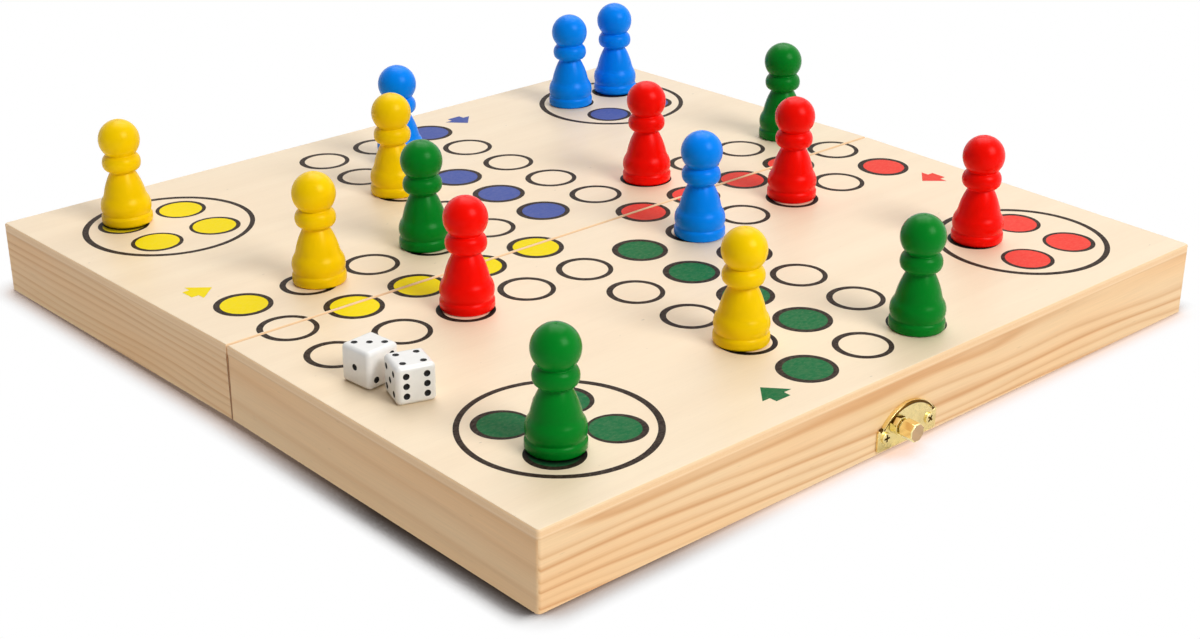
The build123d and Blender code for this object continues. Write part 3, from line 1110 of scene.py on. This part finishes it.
def cells():
    """The cells of the cross, in rows from its middle, with the ink of each filled one."""
    inks = {}
    for step in range(1, arm_rows):
        inks[(-step, 0)] = "yellow"
        inks[(step, 0)] = "red"
        inks[(0, -step)] = "green"
        inks[(0, step)] = "blue"
    starts = {
        (-arm_rows, 1): "yellow",
        (-1, -arm_rows): "green",
        (arm_rows, -1): "red",
        (1, arm_rows): "blue",
    }
    inks.update(starts)
    rows = range(-arm_rows, arm_rows + 1)
    cross = [(a, b) for a in rows for b in rows if min(abs(a), abs(b)) <= 1 and (a, b) != (0, 0)]
    return {cell: inks.get(cell) for cell in cross}


def groups():
    """The corner circles' middles, in rows, with their inks."""
    reach = 4.19
    return {
        (-reach, -reach): "green",
        (-reach, reach): "yellow",
        (reach, -reach): "red",
        (reach, reach): "blue",
    }


def group_spots(middle):
    """The four spots in a corner circle."""
    away = 0.46
    return [(middle[0] + a * away, middle[1] + b * away) for a in (-1, 1) for b in (-1, 1)]


def board_point(row, height_mm=0.0):
    """A place given in rows, in metres on the flat board's printed face."""
    x, y = row
    return Vector(
        (
            x * row_pitch_mm * MM,
            (y * row_pitch_mm + print_shift_mm) * MM,
            (half_depth_mm + height_mm) * MM,
        )
    )


def arrow_mesh(tip, turn, thickness):
    """A short block arrow of ink whose tip is at a place in rows, turned about Z from +Y."""
    head_length, head_half, shaft_length, shaft_half = 6.7, 5.95, 2.6, 2.9
    outline = [
        (0, 0),
        (head_half, -head_length),
        (shaft_half, -head_length),
        (shaft_half, -head_length - shaft_length),
        (-shaft_half, -head_length - shaft_length),
        (-shaft_half, -head_length),
        (-head_half, -head_length),
    ]
    bm = bmesh.new()
    face = bm.faces.new([bm.verts.new((x * MM, y * MM, -thickness / 2)) for x, y in outline])
    raised = bmesh.ops.extrude_face_region(bm, geom=[face])
    top = [v for v in raised["geom"] if isinstance(v, bmesh.types.BMVert)]
    bmesh.ops.translate(bm, verts=top, vec=(0, 0, thickness))
    mesh = mesh_from(bm, "arrow")
    mesh.transform(Matrix.Translation(board_point(tip)) @ Matrix.Rotation(turn, 4, "Z"))
    return mesh


def joined(meshes):
    """Several meshes as one bmesh."""
    bm = bmesh.new()
    for mesh in meshes:
        bm.from_mesh(mesh)
        bpy.data.meshes.remove(mesh)
    return bm


def half_of_print(meshes, side, edge_mm, name):
    """What of the print lies on one half, cut off at the half's eased edge."""
    bm = joined(meshes)
    plane = Vector((0, side * edge_mm * MM, 0))
    cut = bmesh.ops.bisect_plane(
        bm,
        geom=bm.verts[:] + bm.edges[:] + bm.faces[:],
        plane_co=plane,
        plane_no=(0, -side, 0),
        clear_outer=True,
    )
    edges = [e for e in cut["geom_cut"] if isinstance(e, bmesh.types.BMEdge)]
    bmesh.ops.holes_fill(bm, edges=edges, sides=0)
    return mesh_from(bm, name)


class LUDO_OT_print(bpy.types.Operator):
    """Print the ludo game on both panels"""

    bl_idname = "ludo_box.print"
    bl_label = "Print"

    def execute(self, context):
        ink = context.scene.ludo_print
        wood = context.scene.ludo_wood
        rings = printed_ring_tree()
        spots = printed_spot_tree()
        shift = Vector((math.cos(register_angle), math.sin(register_angle), 0)) * ink.off_register
        # Each corner circle is off register by its own multiple of that shift.
        circle_shifts = {"yellow": 1.2, "green": -0.8, "red": 0.4, "blue": 0.8}
        for side, name in SIDE_NAMES.items():
            black = screen_ink(f"black_screen_ink_{name}", side, ink.black_ink, 1.0, wood)
            ring_values = {
                "Ink Thickness": ink.ink_thickness * line_disc_depth,
                "Off Register": shift,
                "Segments": 72,
                "Material": black,
            }
            lines = [
                grown(
                    [board_point(cell) for cell in cells()],
                    rings,
                    {**ring_values, "Radius": ink.ring_radius, "Line Width": ink.ring_line},
                ),
                *(
                    grown(
                        [board_point(middle)],
                        rings,
                        {
                            **ring_values,
                            "Radius": ink.group_radius,
                            "Line Width": ink.group_line,
                            "Off Register": shift * circle_shifts[own],
                            "Segments": 144,
                        },
                    )
                    for middle, own in groups().items()
                ),
                *(
                    grown(
                        [board_point(spot)],
                        rings,
                        {
                            **ring_values,
                            "Radius": ink.group_spot_radius,
                            "Line Width": ink.group_spot_line,
                            "Off Register": self.inwards(middle, spot, own),
                        },
                    )
                    for middle, own in groups().items()
                    for spot in group_spots(middle)
                ),
            ]
            piece_name = f"printed_lines_{name}"
            mesh = half_of_print(lines, side, edge_easing_mm + line_setback_mm, piece_name)
            piece_from_mesh(piece_name, mesh, black, f"{name}_half", settle(side))
            self.colours(side, name, ink, wood, spots, shift)
        return {"FINISHED"}

    def inwards(self, middle, spot, own):
        """How far a corner spot lies off its ring, towards its circle's middle."""
        shift_mm = green_spot_shift_mm if own == "green" else spot_shift_mm
        return (board_point(middle) - board_point(spot)).normalized() * shift_mm * MM

    def colours(self, side, name, ink, wood, spots, shift):
        """The coloured spots and arrows that fall on one half."""
        out, aside = 4.98, 1.78
        arrows = {
            "yellow": ((-out, aside), -math.pi / 2),
            "green": ((-aside, -out), 0.0),
            "red": ((out, -aside), math.pi / 2),
            "blue": ((aside, out), math.pi),
        }
        depth = ink.ink_thickness * colour_disc_depth
        for colour in PAWN_COLOURS:
            material = screen_ink(
                f"{colour}_screen_ink_{name}", side, getattr(ink, f"{colour}_ink"), 1.0, wood
            )
            values = {"Ink Thickness": depth, "Segments": 64, "Material": material}
            filled = [board_point(c) + shift for c, own in cells().items() if own == colour]
            corner = [
                board_point(spot) + self.inwards(middle, spot, own)
                for middle, own in groups().items()
                if own == colour
                for spot in group_spots(middle)
            ]
            overlap = 0.3 * MM
            cell_radius = ink.ring_radius - ink.ring_line + overlap
            spot_radius = ink.group_spot_radius - ink.group_spot_line + overlap
            meshes = [
                grown(filled, spots, {**values, "Radius": cell_radius}),
                grown(corner, spots, {**values, "Radius": spot_radius}),
                arrow_mesh(*arrows[colour], depth),
            ]
            piece_name = f"printed_{colour}_{name}"
            mesh = half_of_print(meshes, side, edge_easing_mm, piece_name)
            if mesh.polygons:
                piece_from_mesh(
                    piece_name, mesh, material, f"{name}_half", settle(side)
                )


# Hinges and catch --------------------------------------------------------------------------------


def crossed(mesh, face_mm, radius_mm, depth_mm, painted_shade_brass):
    """A screw with a cross recess in its face at a height, cut down by a depth, the recess in
    painted shade.
    """
    arm_width = 0.45
    arm_taper = 0.7
    bm = bmesh.new()
    for turn in (0, math.pi / 2):
        arm = bmesh.ops.create_cube(bm, size=1.0)["verts"]
        size = Vector((2 * radius_mm, arm_width * radius_mm, 2 * depth_mm)) * MM
        bmesh.ops.scale(bm, vec=size, verts=arm)
        for v in arm:
            if v.co.z < 0:
                v.co.x *= arm_taper
        bmesh.ops.rotate(bm, matrix=Matrix.Rotation(turn, 3, "Z"), verts=arm)
        bmesh.ops.translate(bm, vec=(0, 0, face_mm * MM), verts=arm)
    bit = bpy.data.objects.new("bit", mesh_from(bm, "bit"))
    # Painted shade: the recess's faces take this dark brass.
    bit.data.materials.append(painted_shade_brass)
    bpy.context.scene.collection.objects.link(bit)

    def cut(holder):
        recess = holder.modifiers.new("recess", "BOOLEAN")
        recess.object = bit
        recess.operation = "DIFFERENCE"
        recess.solver = "EXACT"
        recess.material_mode = "TRANSFER"
        recess.use_self = True

    result = baked(mesh, cut)
    bpy.data.objects.remove(bit)
    return result


def screw_template(profile_mm, face_mm, recess_radius_mm, recess_depth_mm, plating, painted_shade_brass):
    """One screw with its cross recess up, as an object for the trees to repeat."""
    profile = [(r * MM, h * MM) for r, h in profile_mm]
    blank = turned(profile, 36, "screw")
    blank.materials.append(plating)
    mesh = crossed(blank, face_mm, recess_radius_mm, recess_depth_mm, painted_shade_brass)
    screw = bpy.data.objects.new("screw", mesh)
    bpy.context.scene.collection.objects.link(screw)
    return screw


class LUDO_OT_hinges(bpy.types.Operator):
    """Plate the hinges' leaves and pins, and set their countersunk screws"""

    bl_idname = "ludo_box.hinges"
    bl_label = "Hinges"

    def execute(self, context):
        brass = context.scene.ludo_brass
        plating = brass_plating(
            "brass_plated_hinge", brass.plating, brass.roughness, brass.tarnish
        )
        # Dark brass that paints the shade in the screws' cross recesses.
        painted_shade_brass = brass_plating("tarnished_hinge_screw_cross", brass.tarnish, 0.5)
        for label in ("left", "right"):
            for node in (f"{label}_hinge_far_leaf", f"{label}_hinge_near_leaf"):
                side = FAR if "far" in node else NEAR
                mesh = flat_faced(softened(node, leaf_edge_mm, 2), metal_crease_degrees)
                body = f"{SIDE_NAMES[side]}_half"
                piece = piece_from_mesh(f"{node}_plated", mesh, plating, body)
                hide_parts(node)
            dress(f"{label}_hinge_pin", plating)
        head, shank = hinge_screw_head_radius_mm, hinge_screw_radius_mm
        tip = -hinge_screw_length_mm
        profile = [
            (0, tip),
            (shank * screw_tip_share, tip),
            (shank, tip + hinge_screw_point_mm),
            (shank, -hinge_screw_head_height_mm),
            (head, -hinge_screw_rim_mm),
            (head - hinge_screw_rim_break_mm, 0),
            (0, 0),
        ]
        screw = screw_template(
            profile, 0.0, hinge_cross_radius_mm, hinge_cross_depth_mm, plating, painted_shade_brass
        )
        tree = screw_row_tree()
        reach = board_length_mm / 2 - hinge_inset_mm
        for side, name in SIDE_NAMES.items():
            # Drawn heads up, then turned over to face down.
            along = [
                hinge * reach + end * hinge_screw_spacing_mm / 2
                for hinge in (-1, 1)
                for end in (-1, 1)
            ]
            points = [Vector((x, -side * leaf_middle_mm, 0)) * MM for x in along]
            screws = grown(points, tree, {"Screw": screw, "Turn": 0.7, "Material": plating})
            mesh = flat_faced(screws, metal_crease_degrees)
            place = settle(side) @ Matrix.Rotation(math.pi, 4, "X")
            piece = piece_from_mesh(
                f"{name}_hinge_screws_crossed", mesh, None, f"{name}_half", place
            )
            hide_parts(f"{name}_hinge_screws")
        bpy.data.objects.remove(screw)
        return {"FINISHED"}


class LUDO_OT_catch(bpy.types.Operator):
    """Plate the two catch plates, their studs and screws, and the swing hook"""

    bl_idname = "ludo_box.catch"
    bl_label = "Catch"

    def execute(self, context):
        brass = context.scene.ludo_brass
        plating = brass_plating(
            "brass_plated_catch", brass.plating, brass.roughness, brass.tarnish
        )
        polished = brass_plating(
            "polished_brass_stud", brass.polished, brass.roughness * 0.4, brass.tarnish, 2.2
        )
        sawn = brass_plating("sawn_stud_end", brass.sawn_end, 0.55)
        # Dark brass that paints the shade in the screws' recesses, inside each bead and in the
        # notches.
        painted_shade_brass = brass_plating("tarnished_catch_groove", brass.tarnish, 0.5)
        width = brass.broken_edge / MM
        fittings = [
            ("stud_plate", "near_half", NEAR),
            ("catch_stud", "near_half", NEAR),
            ("hook_plate", "far_half", FAR),
            ("hook_pivot_stud", "far_half", FAR),
            ("swing_hook", "swing_hook", FAR),
        ]
        for node, body, side in fittings:
            stud = node in ("catch_stud", "hook_pivot_stud")
            mesh = flat_faced(softened(node, width if stud else 2 * width, 3), metal_crease_degrees)
            finish = polished if stud else plating
            piece = piece_from_mesh(f"{node}_plated", mesh, finish, body)
            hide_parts(node)
            if stud:
                self.saw_end(mesh, sawn, on_wall(side).to_3x3() @ Vector((0, 0, 1)))
        self.screws(plating, painted_shade_brass)
        self.bead_lines(painted_shade_brass)
        return {"FINISHED"}

    def bead_lines(self, painted_shade_brass):
        """Painted shade: a brown line along the inside of each plate's bead, and dark discs in the
        notches at its ends.
        """
        inset = bead_shade_line_share * bead_width_mm
        half = plate_arch_half_width_mm - inset
        level = plate_thickness_mm + bead_shade_line_share * bead_height_mm
        foot, top = plate_ear_top_mm, plate_arch_top_mm - inset
        values = {
            "Start": Vector((-half, foot, level)) * MM,
            "Top": Vector((0, top, level)) * MM,
            "End": Vector((half, foot, level)) * MM,
            "Thin": bead_shade_line_thin_mm * MM,
            "Thick": (bead_shade_line_thick_mm - bead_shade_line_thin_mm) * MM,
            "Material": painted_shade_brass,
        }
        notches = [
            Vector((end * plate_arch_half_width_mm, plate_ear_top_mm, plate_thickness_mm / 2)) * MM
            for end in (-1, 1)
        ]
        spot = {
            "Radius": notch_shade_radius_mm * MM,
            "Ink Thickness": notch_shade_depth_mm * MM,
            "Segments": 24,
            "Material": painted_shade_brass,
        }
        line_tree, spot_tree = swelling_line_tree(), printed_spot_tree()
        for side, label in ((NEAR, "stud"), (FAR, "hook")):
            parts = [grown([(0, 0, 0)], line_tree, values), grown(notches, spot_tree, spot)]
            mesh = mesh_from(joined(parts), "line")
            mesh.shade_smooth()
            mesh.set_sharp_from_angle(angle=math.radians(line_crease_degrees))
            piece_from_mesh(
                f"{label}_plate_bead_line", mesh, painted_shade_brass, f"{SIDE_NAMES[side]}_half",
                on_wall(side),
            )

    def saw_end(self, mesh, sawn, outwards):
        """Give a stud's outermost face its bare sawn metal."""
        mesh.materials.append(sawn)
        reach = max(outwards.dot(v.co) for v in mesh.vertices)
        for polygon in mesh.polygons:
            if outwards.dot(polygon.center) > reach - sawn_depth_mm * MM:
                polygon.material_index = 1

    def screws(self, plating, painted_shade_brass):
        """The four pan-headed screws, with cross recesses in painted shade."""
        head, height = catch_screw_head_radius_mm, catch_screw_head_height_mm
        shank, tip = catch_screw_radius_mm, -catch_screw_length_mm
        # The domed head's outline, in shares of its radius and height.
        shares = ((1.0, 0.5), (0.96, 0.68), (0.86, 0.78), (0.43, 0.84), (0.0, 0.86))
        edge, corner, flank, dome, top = ((head * out, height * up) for out, up in shares)
        crown = arc_points(edge, corner, flank, 4)
        crown += arc_points(crown[-1], dome, top, 4)
        shaft = [
            (0, tip),
            (shank * screw_tip_share, tip),
            (shank, tip + catch_screw_point_mm),
            (shank, 0),
        ]
        profile = shaft + [(head, 0), edge] + crown
        screw = screw_template(
            profile, top[1], catch_cross_radius_mm, catch_cross_depth_mm, plating, painted_shade_brass
        )
        tree = screw_row_tree()
        for side, label in ((NEAR, "stud"), (FAR, "hook")):
            points = [
                Vector((end * catch_screw_offset_mm, catch_screw_height_mm, plate_thickness_mm)) * MM
                for end in (-1, 1)
            ]
            screws = grown(points, tree, {"Screw": screw, "Turn": 0.9, "Material": plating})
            mesh = flat_faced(screws, metal_crease_degrees)
            piece = piece_from_mesh(
                f"{label}_plate_screws_crossed", mesh, None, f"{SIDE_NAMES[side]}_half",
                on_wall(side),
            )
            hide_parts(f"{label}_plate_screws")
        bpy.data.objects.remove(screw)


# Pawns and dice ----------------------------------------------------------------------------------


def eased(outline, corner, reach):
    """The outline with one of its corners swept round, from a reach before it to a reach after."""
    near = [math.dist(point, corner) < reach for point in outline]
    first, last = near.index(True), len(near) - near[::-1].index(True)
    start, end = outline[first - 1], outline[last]
    swept = []
    for step in range(1, 10):
        t = step / 10
        weights = ((1 - t) ** 2, 2 * t * (1 - t), t**2)
        drawn = [(w * x, w * y) for w, (x, y) in zip(weights, (start, corner, end))]
        swept.append(tuple(sum(shares) for shares in zip(*drawn)))
    return outline[:first] + swept + outline[last:]


def pawn_outline():
    """The turned outline of a pawn in metres, with the lacquer's soft edges."""
    head = head_radius_mm
    neck = (math.sqrt(head**2 - (head_centre_mm - neck_height_mm) ** 2), neck_height_mm)
    crown = (dimple_radius_mm, head_centre_mm + math.sqrt(head**2 - dimple_radius_mm**2))
    groove = (groove_radius_mm, groove_height_mm)
    crease = (crease_radius_mm, crease_height_mm)
    waist = (waist_radius_mm, waist_height_mm)
    collar, low = collar_edge_radius_mm, collar_widest_mm - collar_band_mm / 2
    collar_foot = (collar, low + collar_foot_lift_mm)
    collar_top = (collar, low + collar_band_mm)
    foot, level = foot_radius_mm, foot_height_mm
    underside = (foot - foot_rounding_mm, 0)
    middle = (foot - foot_rounding_middle_mm, foot_rounding_middle_mm)
    shoulder = (foot, level - foot_shoulder_mm)
    outline = [(0, 0), underside]
    outline += arc_points(underside, middle, (foot, foot_rounding_mm), 6)
    outline += [shoulder]
    outline += arc_points(shoulder, (foot - 0.1, level - 0.2), groove, 6)
    outline += arc_points(groove, (skirt_radius_mm, skirt_widest_mm), crease, 16)
    outline += arc_points(crease, (shoulder_radius_mm, shoulder_height_mm), waist, 24)
    outline = eased(outline, crease, 1.0)
    # Lacquer fills the corners above the waist, on both sides of the collar and in the dimple:
    # each has a point a few tenths of a millimetre off it.
    outline += [(waist[0] + 0.35, waist[1] + 0.25), (collar - 0.4, collar_foot[1] - 0.35)]
    bulge = (collar_radius_mm, collar_widest_mm + collar_bulge_mm)
    outline += arc_points(collar_foot, bulge, collar_top, 14)
    outline += [(collar - 0.3, collar_top[1] + 0.3), (neck[0] + 0.45, neck[1] - 0.12), neck]
    outline += arc_points(neck, (head, head_centre_mm), crown, 30)
    outline += [(0.35, crown[1] - 0.12), (0, crown[1] - dimple_depth_mm)]
    return [(radius * MM, height * MM) for radius, height in outline]


class LUDO_OT_pawns(bpy.types.Operator):
    """Turn and lacquer the sixteen pawns"""

    bl_idname = "ludo_box.pawns"
    bl_label = "Pawns"

    def execute(self, context):
        settings = context.scene.ludo_pieces
        outline = pawn_outline()
        for colour in PAWN_COLOURS:
            material = lacquer(f"{colour}_lacquered_beech", getattr(settings, colour), settings)
            for number in range(1, 5):
                node = f"{colour}_pawn_{number}"
                mesh = turned(outline, settings.pawn_segments, node)
                mesh.shade_smooth()
                piece = piece_from_mesh(
                    f"{node}_lacquered", mesh, material, node,
                    standing_place(node),
                )
                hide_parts(node)
        return {"FINISHED"}


class LUDO_OT_dice(bpy.types.Operator):
    """Mould the two dice and paint their pips"""

    bl_idname = "ludo_box.dice"
    bl_label = "Dice"

    def execute(self, context):
        settings = context.scene.ludo_pieces
        plastic = dice_plastic("white_urea_dice", settings.dice)
        paint = pip_paint("black_pip_enamel", settings.pips)
        for node in ("die_left", "die_right"):
            mesh = mesh_from(welded(node), node)
            for finish in (plastic, paint):
                mesh.materials.append(finish)
            self.paint_pips(mesh)
            mesh = flat_faced(mesh, die_crease_degrees)
            piece = piece_from_mesh(f"{node}_painted", mesh, None, node)
            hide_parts(node)
        return {"FINISHED"}

    def paint_pips(self, mesh):
        """Paint the drilled cones: what lies below a face, within its pips' field."""
        field = (pip_spacing_mm + pip_radius_mm + pip_margin_mm) * MM
        axes = self.face_axes(mesh)
        centre = Vector()
        for axis in axes:
            reaches = [axis.dot(v.co) for v in mesh.vertices]
            centre += axis * (min(reaches) + max(reaches)) / 2
        for polygon in mesh.polygons:
            offset = polygon.center - centre
            along = sorted((abs(offset.dot(axis)), i) for i, axis in enumerate(axes))
            sunk = along[2][0] < (die_edge_mm / 2 - face_margin_mm) * MM
            if sunk and along[1][0] < field:
                polygon.material_index = 1

    def face_axes(self, mesh):
        """The directions of a die's three pairs of faces: those that most of its surface faces."""
        facings = {}
        for polygon in mesh.polygons:
            key = tuple(round(c, 1) for c in polygon.normal)
            facings[key] = facings.get(key, Vector()) + polygon.normal * polygon.area
        axes = []
        for facing in sorted(facings.values(), key=lambda f: -f.length):
            direction = facing.normalized()
            if all(abs(direction.dot(axis)) < 0.1 for axis in axes):
                axes.append(direction)
        return axes[:3]


# Stage -------------------------------------------------------------------------------------------


class LUDO_OT_stage(bpy.types.Operator):
    """Set the floor, the lamps, the white surroundings and the camera"""

    bl_idname = "ludo_box.stage"
    bl_label = "Stage"

    def execute(self, context):
        settings = context.scene.ludo_stage
        context.scene.view_settings.view_transform = "Standard"
        self.surroundings(context, settings)
        self.floor(context, settings)
        lamps = (
            ("front_softbox", front_softbox_place, front_softbox_width, settings.front_power),
            (
                "overhead_softbox", overhead_softbox_place, overhead_softbox_width,
                settings.overhead_power,
            ),
        )
        for lamp in lamps:
            self.lamp(context, *lamp)
        self.camera(context, settings)
        return {"FINISHED"}

    def surroundings(self, context, settings):
        """An even room over a white table, which the camera, metal and glass see as plain white."""
        world = bpy.data.worlds.new("white_studio")
        context.scene.world = world
        world.use_nodes = True
        tree = world.node_tree
        tree.nodes.clear()
        looking = add(tree, "ShaderNodeTexCoord")
        split = add(tree, "ShaderNodeSeparateXYZ", {"Vector": looking.outputs["Generated"]})
        down = add(
            tree, "ShaderNodeMath", {0: split.outputs["Z"]}, {1: 0.0}, operation="LESS_THAN"
        )
        strength = add(
            tree, "ShaderNodeMapRange", {"Value": down.outputs[0]},
            {"To Min": settings.room_light, "To Max": settings.table_light},
        )
        path = add(tree, "ShaderNodeLightPath")
        seen = add(
            tree, "ShaderNodeMath",
            {0: path.outputs["Is Camera Ray"], 1: self.seen_in_shine(tree, path)},
            operation="MAXIMUM",
        )
        room = add(tree, "ShaderNodeBackground", {"Strength": strength.outputs[0]})
        white = add(tree, "ShaderNodeBackground", values={"Strength": 1.0})
        for background in (room, white):
            background.inputs["Color"].default_value = (1, 1, 1, 1)
        both = add(
            tree, "ShaderNodeMixShader",
            {0: seen.outputs[0], 1: room.outputs[0], 2: white.outputs[0]},
        )
        add(tree, "ShaderNodeOutputWorld", {"Surface": both.outputs[0]})

    def seen_in_shine(self, tree, path):
        """1 on a ray that metal or glass sends on, and 0 on any other."""
        either = add(
            tree, "ShaderNodeMath",
            {0: path.outputs["Is Glossy Ray"], 1: path.outputs["Is Transmission Ray"]},
            operation="MAXIMUM",
        )
        return either.outputs[0]

    def floor(self, context, settings):
        """A clear sheet over the white surroundings, which shows only the board's contact shade.

        Metal sees it as white paper, and a half or a hook that swings below it stays in view.
        """
        mesh = bpy.data.meshes.new("floor")
        turns = ((-1, -1), (1, -1), (1, 1), (-1, 1))
        corners = [(x * floor_reach, y * floor_reach, 0) for x, y in turns]
        mesh.from_pydata(corners, [], [(0, 1, 2, 3)])
        material, tree = new_material("plain_white_floor")
        path = add(tree, "ShaderNodeLightPath")
        side = add(tree, "ShaderNodeNewGeometry")
        # The white and the shade are on the upper side alone: from beneath, the sheet is clear.
        white_side, shaded_side = (
            add(
                tree, "ShaderNodeMath", {0: seen, 1: side.outputs["Backfacing"]},
                operation="SUBTRACT", use_clamp=True,
            )
            for seen in (self.seen_in_shine(tree, path), path.outputs["Is Camera Ray"])
        )
        # The corner that a wall makes with the floor: little light reaches its last millimetres.
        corner = add(
            tree, "ShaderNodeAmbientOcclusion", values={"Distance": shade_reach}, samples=8
        )
        shade = self.contact(tree, corner.outputs["AO"])
        tint = mixed(tree, shaded_side.outputs[0], (1.0, 1.0, 1.0, 1.0), shade)
        clear = add(tree, "ShaderNodeBsdfTransparent", {"Color": tint})
        white = (settings.floor_white,) * 3 + (1.0,)
        paper = add(tree, "ShaderNodeBsdfDiffuse", values={"Color": white})
        both = add(
            tree, "ShaderNodeMixShader",
            {0: white_side.outputs[0], 1: clear.outputs[0], 2: paper.outputs[0]},
        )
        close_material(tree, both)
        mesh.materials.append(material)
        floor = bpy.data.objects.new("floor", mesh)
        context.scene.collection.objects.link(floor)

    def contact(self, tree, openness):
        """The floor's shade beside the board: deepest along the left, round the near corner."""
        left_wall, near_wall = board_length_mm / 2 * MM, half_width_mm * MM
        place = add(tree, "ShaderNodeTexCoord")
        split = add(tree, "ShaderNodeSeparateXYZ", {"Vector": place.outputs["Object"]})
        in_front = add(
            tree, "ShaderNodeMapRange", {"Value": split.outputs["Y"]},
            {"From Min": shade_blend - near_wall, "From Max": -shade_blend - near_wall},
        )
        from_corner = add(
            tree, "ShaderNodeVectorMath", {0: place.outputs["Object"]},
            {
                1: (corner_shade_stretch, 1.0, 1.0),
                2: (corner_shade_stretch * left_wall, near_wall, 0.0),
            },
            operation="MULTIPLY_ADD",
        )
        away = add(tree, "ShaderNodeVectorMath", {0: from_corner.outputs[0]}, operation="LENGTH")
        near = add(
            tree, "ShaderNodeMapRange", {"Value": away.outputs["Value"]},
            {"From Min": corner_shade_reach, "From Max": corner_shade_core},
        )
        far_left, near_left, near_front = (
            ramped(tree, openness, stops)
            for stops in (
                [(0.5, 0.2), (0.57, 0.64), (0.7, 0.7), (0.87, 0.89), (1.0, 1.0)],
                [(0.5, 0.04), (0.7, 0.12), (0.77, 0.23), (0.87, 0.66), (1.0, 1.0)],
                [(0.5, 0.4), (0.64, 0.55), (0.77, 0.67), (0.87, 0.83), (1.0, 1.0)],
            )
        )
        left = mixed(tree, near.outputs[0], far_left, near_left)
        front = mixed(tree, near.outputs[0], (1.0, 1.0, 1.0, 1.0), near_front)
        shade = mixed(tree, in_front.outputs[0], left, front)
        # The wood throws its own warm colour into the shade.
        warm = ramped(
            tree, openness,
            [(0.5, (1.0, 0.7, 0.53, 1.0)), (0.64, (1.0, 0.84, 0.76, 1.0)), (0.9, 1.0)],
        )
        return mixed(tree, 1.0, shade, warm, "MULTIPLY")

    def lamp(self, context, name, place, size, power):
        """A square softbox aimed at the board."""
        data = bpy.data.lights.new(name, "AREA")
        data.shape = "SQUARE"
        data.size = size
        data.energy = power
        lamp = bpy.data.objects.new(name, data)
        context.scene.collection.objects.link(lamp)
        lamp.location = place
        lamp.rotation_euler = (-Vector(place)).to_track_quat("-Z", "Y").to_euler()

    def camera(self, context, settings):
        """The camera, which looks down at the board over its near left corner."""
        turn, tip, roll = settings.azimuth, settings.elevation, settings.roll
        level = math.cos(tip)
        back = Vector((math.sin(turn) * level, -math.cos(turn) * level, math.sin(tip)))
        right = (-back).cross(Vector((0, 0, 1))).normalized()
        up = right.cross(-back)
        leaned_right = right * math.cos(roll) + up * math.sin(roll)
        leaned_up = up * math.cos(roll) - right * math.sin(roll)
        facing = Matrix((leaned_right, leaned_up, back)).transposed()
        data = bpy.data.cameras.new("camera")
        data.lens = settings.lens
        data.sensor_width = 36.0
        data.sensor_fit = "HORIZONTAL"
        data.clip_start = 0.01
        camera = bpy.data.objects.new("camera", data)
        context.scene.collection.objects.link(camera)
        place = Vector(settings.target) + back * settings.distance
        camera.matrix_world = Matrix.Translation(place) @ facing.to_4x4()
        context.scene.camera = camera


# Add-on ------------------------------------------------------------------------------------------


class LUDO_PT_sidebar(bpy.types.Panel):
    """The box's settings and the operators that dress it"""

    bl_label = "Ludo box"
    bl_idname = "LUDO_PT_sidebar"
    bl_space_type = "VIEW_3D"
    bl_region_type = "UI"
    bl_category = "Ludo box"

    def draw(self, context):
        for name in SETTINGS:
            box = self.layout.box()
            group = getattr(context.scene, name)
            for key in group.bl_rna.properties.keys():
                if key not in ("rna_type", "name"):
                    box.prop(group, key)
        for operator in OPERATORS:
            self.layout.operator(operator.bl_idname)


SETTINGS = {
    "ludo_wood": BoardWoodSettings,
    "ludo_print": PrintSettings,
    "ludo_pieces": PieceSettings,
    "ludo_brass": BrassSettings,
    "ludo_stage": StageSettings,
}
OPERATORS = (
    LUDO_OT_panels,
    LUDO_OT_walls,
    LUDO_OT_print,
    LUDO_OT_hinges,
    LUDO_OT_catch,
    LUDO_OT_pawns,
    LUDO_OT_dice,
    LUDO_OT_stage,
)


def register():
    for cls in (*SETTINGS.values(), *OPERATORS, LUDO_PT_sidebar):
        bpy.utils.register_class(cls)
    for name, cls in SETTINGS.items():
        setattr(bpy.types.Scene, name, PointerProperty(type=cls))


def unregister():
    for name in SETTINGS:
        delattr(bpy.types.Scene, name)
    for cls in reversed((*SETTINGS.values(), *OPERATORS, LUDO_PT_sidebar)):
        bpy.utils.unregister_class(cls)


def main():
    """Register the add-on and dress every piece."""
    register()
    bpy.ops.ludo_box.panels()
    bpy.ops.ludo_box.walls()
    bpy.ops.ludo_box.print()
    bpy.ops.ludo_box.hinges()
    bpy.ops.ludo_box.catch()
    bpy.ops.ludo_box.pawns()
    bpy.ops.ludo_box.dice()
    bpy.ops.ludo_box.stage()
    bpy.context.view_layer.update()


if __name__ == "__main__":
    main()
